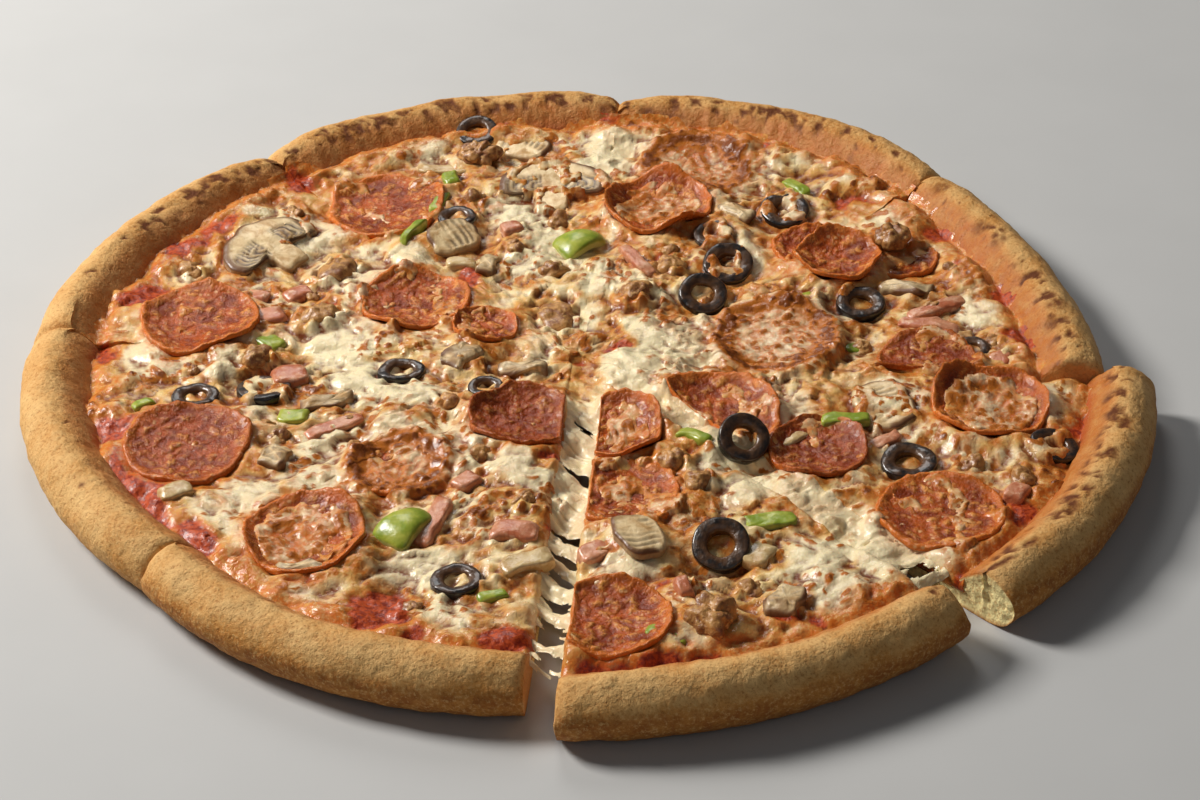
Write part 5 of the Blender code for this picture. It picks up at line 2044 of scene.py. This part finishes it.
@dataclass
class CheeseSheet:
    """A slice's melted cheese and sauce as one closed mesh."""

    piece: Slice
    relief: CheeseRelief
    along: int = 112
    stations: int = 188
    tip: float = 1.8
    wall_rows: int = 6
    seam: float = 0.01
    seam_width: float = 3.0

    def build(self) -> None:
        """Make the sheet and hand it over."""
        angle = np.linspace(self.piece.start, self.piece.end, self.along)[None, :]
        reach = self.piece.reach_at(angle)
        outer = reach - RIM_WIDTH + self.piece.climb
        share = np.linspace(0, 1, self.stations)[:, None]
        radius = self.tip + share * (outer - self.tip)
        foot = reach - RIM_WIDTH - radius
        x, y = self.piece.place(radius, angle)
        x, y = self.piece.meet(x, y, self.seam, self.seam_width)
        relief = self.relief.read(self.piece, x, y, foot)
        points = np.stack([x, y, relief.height], -1)
        parts = MeshParts(self.relief.tones)
        tones = relief.tones()
        parts.add_grid(points, tones, flip=True)
        self._walls(parts, points, tones)
        parts.hand_over("cheese_sheet_" + self.piece.name, Slot.CHEESE, ["cheese_" + self.piece.name])

    def _walls(self, parts: MeshParts, points: Array, top_tones: Tones) -> None:
        """Close the sheet with walls and a flat bottom.

        Args:
            parts: The mesh, which is added to.
            points: The points of the top.
            top_tones: The tones of the top.
        """
        index = np.arange(points.shape[0] * points.shape[1]).reshape(points.shape[:2])
        ring = np.concatenate([index[0, :-1], index[:-1, -1], index[-1, :0:-1], index[:0:-1, 0]])
        flat = points.reshape(-1, 3)[ring]
        out, free = self._edge(flat)
        x, y = flat[None, :, 0], flat[None, :, 1]
        share = np.linspace(0, 1, self.wall_rows + 1)[:, None]
        height = flat[None, :, 2] * (1 - share) + CHEESE_FLOOR * share
        bulge = (4 * share * (1 - share)) * (0.45 + 0.5 * waves(x, y, 3.0, 71, height))
        bulge = np.where(free[None, :], bulge, 0.0)
        walls = np.stack([x + out[None, :, 0] * bulge, y + out[None, :, 1] * bulge, height], -1)
        streak = waves(x, y, 4.0, 72, height * 0.4)
        sauce = smooth(0.45, 0.85, share + 0.35 * streak) * smooth(1.02, 0.9, share * 0.98)
        tones = {name: value.ravel()[ring][None, :] + 0 * share for name, value in top_tones.items()}
        tones["toast"] = tones["toast"] * (1 - share)
        tones["sauce"] = np.maximum(sauce * 0.85, tones["sauce"])
        tones["thin"] = np.maximum(tones["thin"], 0.8 * smooth(0.0, 0.4, share))
        tones["white"] = tones["white"] * (1 - share)
        first = parts.add_grid(walls, {name: value.ravel() for name, value in tones.items()}, closed=True,
                               flip=True)
        bottom = first + self.wall_rows * len(ring) + np.arange(len(ring))
        parts.rings.append(bottom[::-1].tolist())

    def _edge(self, flat: Array) -> Pair:
        """Return the direction out of the slice at points of its edge, and which lie at an open cut."""
        out, free = np.zeros((len(flat), 2)), np.zeros(len(flat), bool)
        for side in Side:
            into = self.piece.inward(side)
            near = self.piece.depth(side, flat[:, 0], flat[:, 1]) < 0.1
            out[near] = (-into[0], -into[1])
            free |= near & (side in self.piece.free_sides)
        return out, free


@dataclass
class SmallToppings:
    """All small toppings of one kind as one joined mesh."""

    name: str
    slot: Slot
    shape: BitShape
    bits: Sequence[Bit]
    relief: CheeseRelief
    tones: tuple[str, ...] = ()

    def _nugget(self, bit: Bit) -> Shape:
        """Return a crumb of sausage meat about its middle."""
        size = np.array([bit.length, bit.width, bit.height]) / 2
        return crumbly(ball_directions(22, 34) * size, bit.seed, 1.1, 0.3), {}

    def _strip(self, bit: Bit) -> Shape:
        """Return a soft-edged bent strip about its middle, with its cut sides."""
        bar = rounded_bar(bit.length, bit.width, bit.height, 16, 46, 0.7)
        along, across, up = np.moveaxis(bar, -1, 0)
        share = along / (bit.length / 2)
        bend = waves(np.array(0.3), np.array(bit.seed * 1.7), 1.0, 81)
        across += 0.12 * bit.length * bend * (1 - share * share)
        up += 0.10 * bit.length * abs(bend) * (1 - share * share)
        wild = 2.2 if self.slot is Slot.MUSHROOM else 1.0
        rough = 0.55 * wild * waves(along, across, 4.5, bit.seed, up)
        up += rough + 0.25 * wild * waves(along, across, 2.0, bit.seed + 1, up)
        across += 1.2 * wild * waves(along, up, 6.0, bit.seed + 2, 0.3 * across)
        along += 1.0 * waves(across, up, 5.0, bit.seed + 3)
        side = np.maximum(np.abs(across) / (bit.width / 2), np.abs(share))
        ends = smooth(0.75, 1.0, side) * smooth(0.6, -0.2, up / bit.height * 2)
        ribs = 0.5 + 0.5 * np.sin(along * 3.6)
        return bar, {"cut": ends, "skin": smooth(0.7, 1.0, side),
                     "gill": 0.6 * ribs * smooth(0.95, 0.6, side)}

    def _ring(self, bit: Bit) -> Shape:
        """Return a ring of olive about its middle."""
        olive = Olive("", bit.x, 0, bit.length, thick=min(bit.height, 4.4))
        points, tones = olive.ring()
        return points * np.array([1, bit.width / bit.length, 1]) - np.array([0, 0, olive.thick * 0.4]), tones

    def build(self) -> None:
        """Make the kind's mesh and hand it over."""
        make = {BitShape.NUGGET: self._nugget, BitShape.STRIP: self._strip, BitShape.RING: self._ring}
        parts = MeshParts(self.tones)
        for bit in self.bits:
            points, tones = make[self.shape](bit)
            placed = turned(points, bit.toward, bit.x, bit.y, bit.middle)
            parts.add_grid(placed, {name: tones[name] for name in self.tones}, closed=True)
        parts.hand_over(self.name, self.slot)


@dataclass(frozen=True)
class Gap:
    """An open cut between two slices, and how much cheese still spans it at each distance."""

    name: str
    first: tuple[str, Side]
    second: tuple[str, Side]
    cover: tuple[tuple[float, float], ...]
    milky: float = 0.0


GAPS = (
    Gap("e_d", ("e", Side.END), ("d", Side.START),
        ((1, 1.2), (14, 1.0), (24, 0.45), (40, 0.25), (62, 0.15), (74, 0.40), (88, 0.10), (104, -0.15),
         (116, 0.25), (128, -0.05), (146, 0.0), (156, -0.25), (162, -0.9))),
    Gap("b_c", ("b", Side.START), ("c", Side.END),
        ((1, 1.2), (12, 1.1), (20, 1.0), (34, 0.9), (42, 1.0), (50, 1.1), (140, 1.1), (148, 0.3))),
    Gap("c_d", ("c", Side.START), ("d", Side.END),
        ((1, 1.1), (70, 1.1), (104, 1.0), (118, 0.65), (134, 0.30), (146, -0.05), (154, -0.8)), 0.8),
)


@dataclass
class CheeseWeb:
    """The cheese that still spans an open cut: sheets, webs and strings."""

    gap: Gap
    relief: CheeseRelief
    step: float = 0.6
    columns: int = 20
    inset: float = 1.6
    half_thick: float = 1.5
    sag: float = 2.6

    def _edge(self, end: tuple[str, Side], radius: Array) -> Pair:
        """Return places a little inside the edge of one of the slices."""
        piece = SLICE_OF[end[0]]
        angle = piece.start if end[1] is Side.START else piece.end
        into = piece.inward(end[1])
        x, y = piece.place(radius, np.full(radius.shape, angle))
        return x + self.inset * into[0], y + self.inset * into[1]

    def build(self) -> None:
        """Make the web and hand it over."""
        reach, cover = zip(*self.gap.cover)
        radius = np.arange(reach[0], reach[-1], self.step)[:, None]
        share = np.linspace(0, 1, self.columns)[None, :]
        x1, y1 = self._edge(self.gap.first, radius)
        x2, y2 = self._edge(self.gap.second, radius + 2.0 * waves(radius, 0 * radius, 14.0, 90))
        x, y = x1 + share * (x2 - x1), y1 + share * (y2 - y1)
        whole = np.interp(radius, reach, cover)
        field = (whole + 0.85 * waves(radius, share * 2.2, 3.4, 91)
                 + 0.40 * waves(radius, share * 1.2, 1.5, 92) + 0.34 * (2 * share - 1) ** 2)
        relief = self.relief.bare(x, y, 20 + 0 * x)
        self.relief.lie_round(relief, x, y)
        body = np.sqrt(unit(field * 1.4))
        hang = self.sag * 4 * share * (1 - share) * unit(1.1 - whole)
        top = relief.height - 0.5 - hang - self.half_thick * (1 - body)
        bottom = np.maximum(top - 2 * self.half_thick * body * (0.6 + 0.4 * unit(whole)), 1.0)
        there = field > 0
        keep = (there[:-1, :-1] | there[1:, 1:]) & (there[:-1, 1:] | there[1:, :-1])
        tones = relief.tones()
        stretched = np.maximum(smooth(1.0, 0.3, whole), self.gap.milky)
        tones["white"] = np.maximum(tones["white"], stretched)
        tones["toast"] = tones["toast"] * (1 - 0.8 * stretched)
        tones["sauce"] = tones["sauce"] * (1 - stretched)
        tones["thin"] = tones["thin"] * (1 - 0.8 * stretched)
        # less painted shade where the cheese is stretched
        tones["hollow"] = tones["hollow"] * (1 - 0.9 * stretched)
        tones["oil"] = tones["oil"] * (1 - 0.8 * stretched)
        parts = MeshParts(self.relief.tones)
        parts.add_shell(np.stack([x, y, top], -1), np.stack([x, y, bottom], -1), keep, tones)
        parts.hand_over("cheese_web_" + self.gap.name, Slot.CHEESE, weld=False)


@dataclass
class CheeseMiddle:
    """The cheese that fills the hole where the cuts cross."""

    relief: CheeseRelief
    x: float = 7.0
    y: float = -5.0
    half: float = 14.0
    step: float = 0.8

    def build(self) -> None:
        """Make the filling and hand it over."""
        line = np.arange(-self.half, self.half + self.step, self.step)
        across, along = np.meshgrid(line, line, indexing="ij")
        x, y = self.x + across, self.y + along
        field = 1 - np.hypot(across, along) / self.half + 0.15 * waves(x, y, 5.0, 93)
        relief = self.relief.bare(x, y, 60 + 0 * x)
        self.relief.lie_round(relief, x, y)
        body = np.sqrt(unit(field * 2))
        top = relief.height - 0.9 - (1 - body)
        there = field > 0
        keep = there[:-1, :-1] & there[1:, 1:] & there[:-1, 1:] & there[1:, :-1]
        parts = MeshParts(self.relief.tones)
        parts.add_shell(np.stack([x, y, top], -1), np.stack([x, y, top - 3 * body - 0.1], -1), keep,
                        relief.tones())
        parts.hand_over("cheese_web_middle", Slot.CHEESE, weld=False)


@dataclass
class Studio:
    """Floor, light and camera."""

    position: tuple[float, float, float] = (0.00528, -0.83018, 0.55783)
    right: tuple[float, float, float] = (0.99965732, -0.01463796, -0.02170167)
    up: tuple[float, float, float] = (0.02617695, 0.55900128, 0.82875348)
    back: tuple[float, float, float] = (0.0, -0.82903757, 0.5591929)
    lens: float = 90.0
    floor_half: float = 3.0

    def _light(self, name: str, place: tuple[float, float, float], size: float, power: float,
               colour: Colour) -> None:
        """Add a square soft light that looks at the pizza.

        Args:
            name: The light's name.
            place: Where it hangs, in metres.
            size: The length of its side, in metres.
            power: Its power in watts.
            colour: Its colour.
        """
        lamp = bpy.data.lights.new(name, "AREA")
        lamp.size = size
        lamp.energy = power
        lamp.color = colour
        holder = bpy.data.objects.new(name, lamp)
        holder.location = place
        holder.rotation_euler = (-Vector(place)).to_track_quat("-Z", "Y").to_euler()
        bpy.context.scene.collection.objects.link(holder)

    def light(self) -> None:
        """Hang the lights: a key from the left and behind, a broad one above and a weak fill."""
        self._light("key", (-1.10, 0.45, 1.00), 0.45, 29.0, (1.0, 0.97, 0.93))
        self._light("behind", (-0.20, 1.20, 1.10), 0.55, 5.0, (1.0, 0.98, 0.96))
        self._light("fill", (0.3, -1.3, 1.0), 1.0, 1.2, (0.95, 0.97, 1.0))
        world = bpy.data.worlds.new("studio")
        world.use_nodes = True
        world.node_tree.nodes["Background"].inputs["Color"].default_value = (0.85, 0.88, 0.92, 1.0)
        world.node_tree.nodes["Background"].inputs["Strength"].default_value = 0.07
        bpy.context.scene.world = world
        bpy.context.scene.view_settings.view_transform = "Standard"

    def floor(self) -> None:
        """Lay the floor just under the pizza."""
        mesh = bpy.data.meshes.new("floor")
        half = self.floor_half
        corners = [(-half, -half, 0), (half, -half, 0), (half, half, 0), (-half, half, 0)]
        mesh.from_pydata(corners, [], [(0, 1, 2, 3)])
        mesh.materials.append(FloorFinish().material())
        ground = bpy.data.objects.new("floor", mesh)
        ground.location.z = -0.0002
        bpy.context.scene.collection.objects.link(ground)

    def camera(self) -> None:
        """Set the camera where it looks down on the pizza from the front."""
        lens = bpy.data.cameras.new("view")
        lens.sensor_width = 36.0
        lens.lens = self.lens
        lens.clip_start = 0.01
        holder = bpy.data.objects.new("view", lens)
        rows = [(self.right[axis], self.up[axis], self.back[axis], self.position[axis]) for axis in range(3)]
        holder.matrix_world = Matrix([*rows, (0, 0, 0, 1)])
        bpy.context.scene.collection.objects.link(holder)
        bpy.context.scene.camera = holder


def main() -> None:
    """Build the pizza from its crusts up, and set the light and the camera."""
    logging.basicConfig(level=logging.INFO, format="%(name)s %(message)s")
    studio = Studio()
    studio.camera()
    studio.light()
    studio.floor()
    for item in LARGE:
        item.measure()
    relief = CheeseRelief(LARGE, SMALL)
    for piece in SLICES:
        Crust(piece).build()
        CheeseSheet(piece, relief).build()
    for item in LARGE:
        item.build()
    kinds = (
        ("sausage_nuggets", Slot.SAUSAGE, BitShape.NUGGET, NUGGETS, ()),
        ("ham_strips", Slot.HAM, BitShape.STRIP, HAM_STRIPS, ()),
        ("pepper_strips", Slot.PEPPER, BitShape.STRIP, PEPPER_BITS, ("cut",)),
        ("olive_rings", Slot.OLIVE, BitShape.RING, OLIVE_BITS, ("cut", "inner")),
        ("mushroom_pieces", Slot.MUSHROOM, BitShape.STRIP, MUSHROOM_BITS, ("skin", "gill")),
        ("onion_pieces", Slot.ONION, BitShape.STRIP, ONION_BITS, ()),
    )
    for name, slot, shape, items, tones in kinds:
        SmallToppings(name, slot, shape, items, relief, tones).build()
    for gap in GAPS:
        CheeseWeb(gap, relief).build()
    CheeseMiddle(relief).build()


if __name__ == "__main__":
    main()
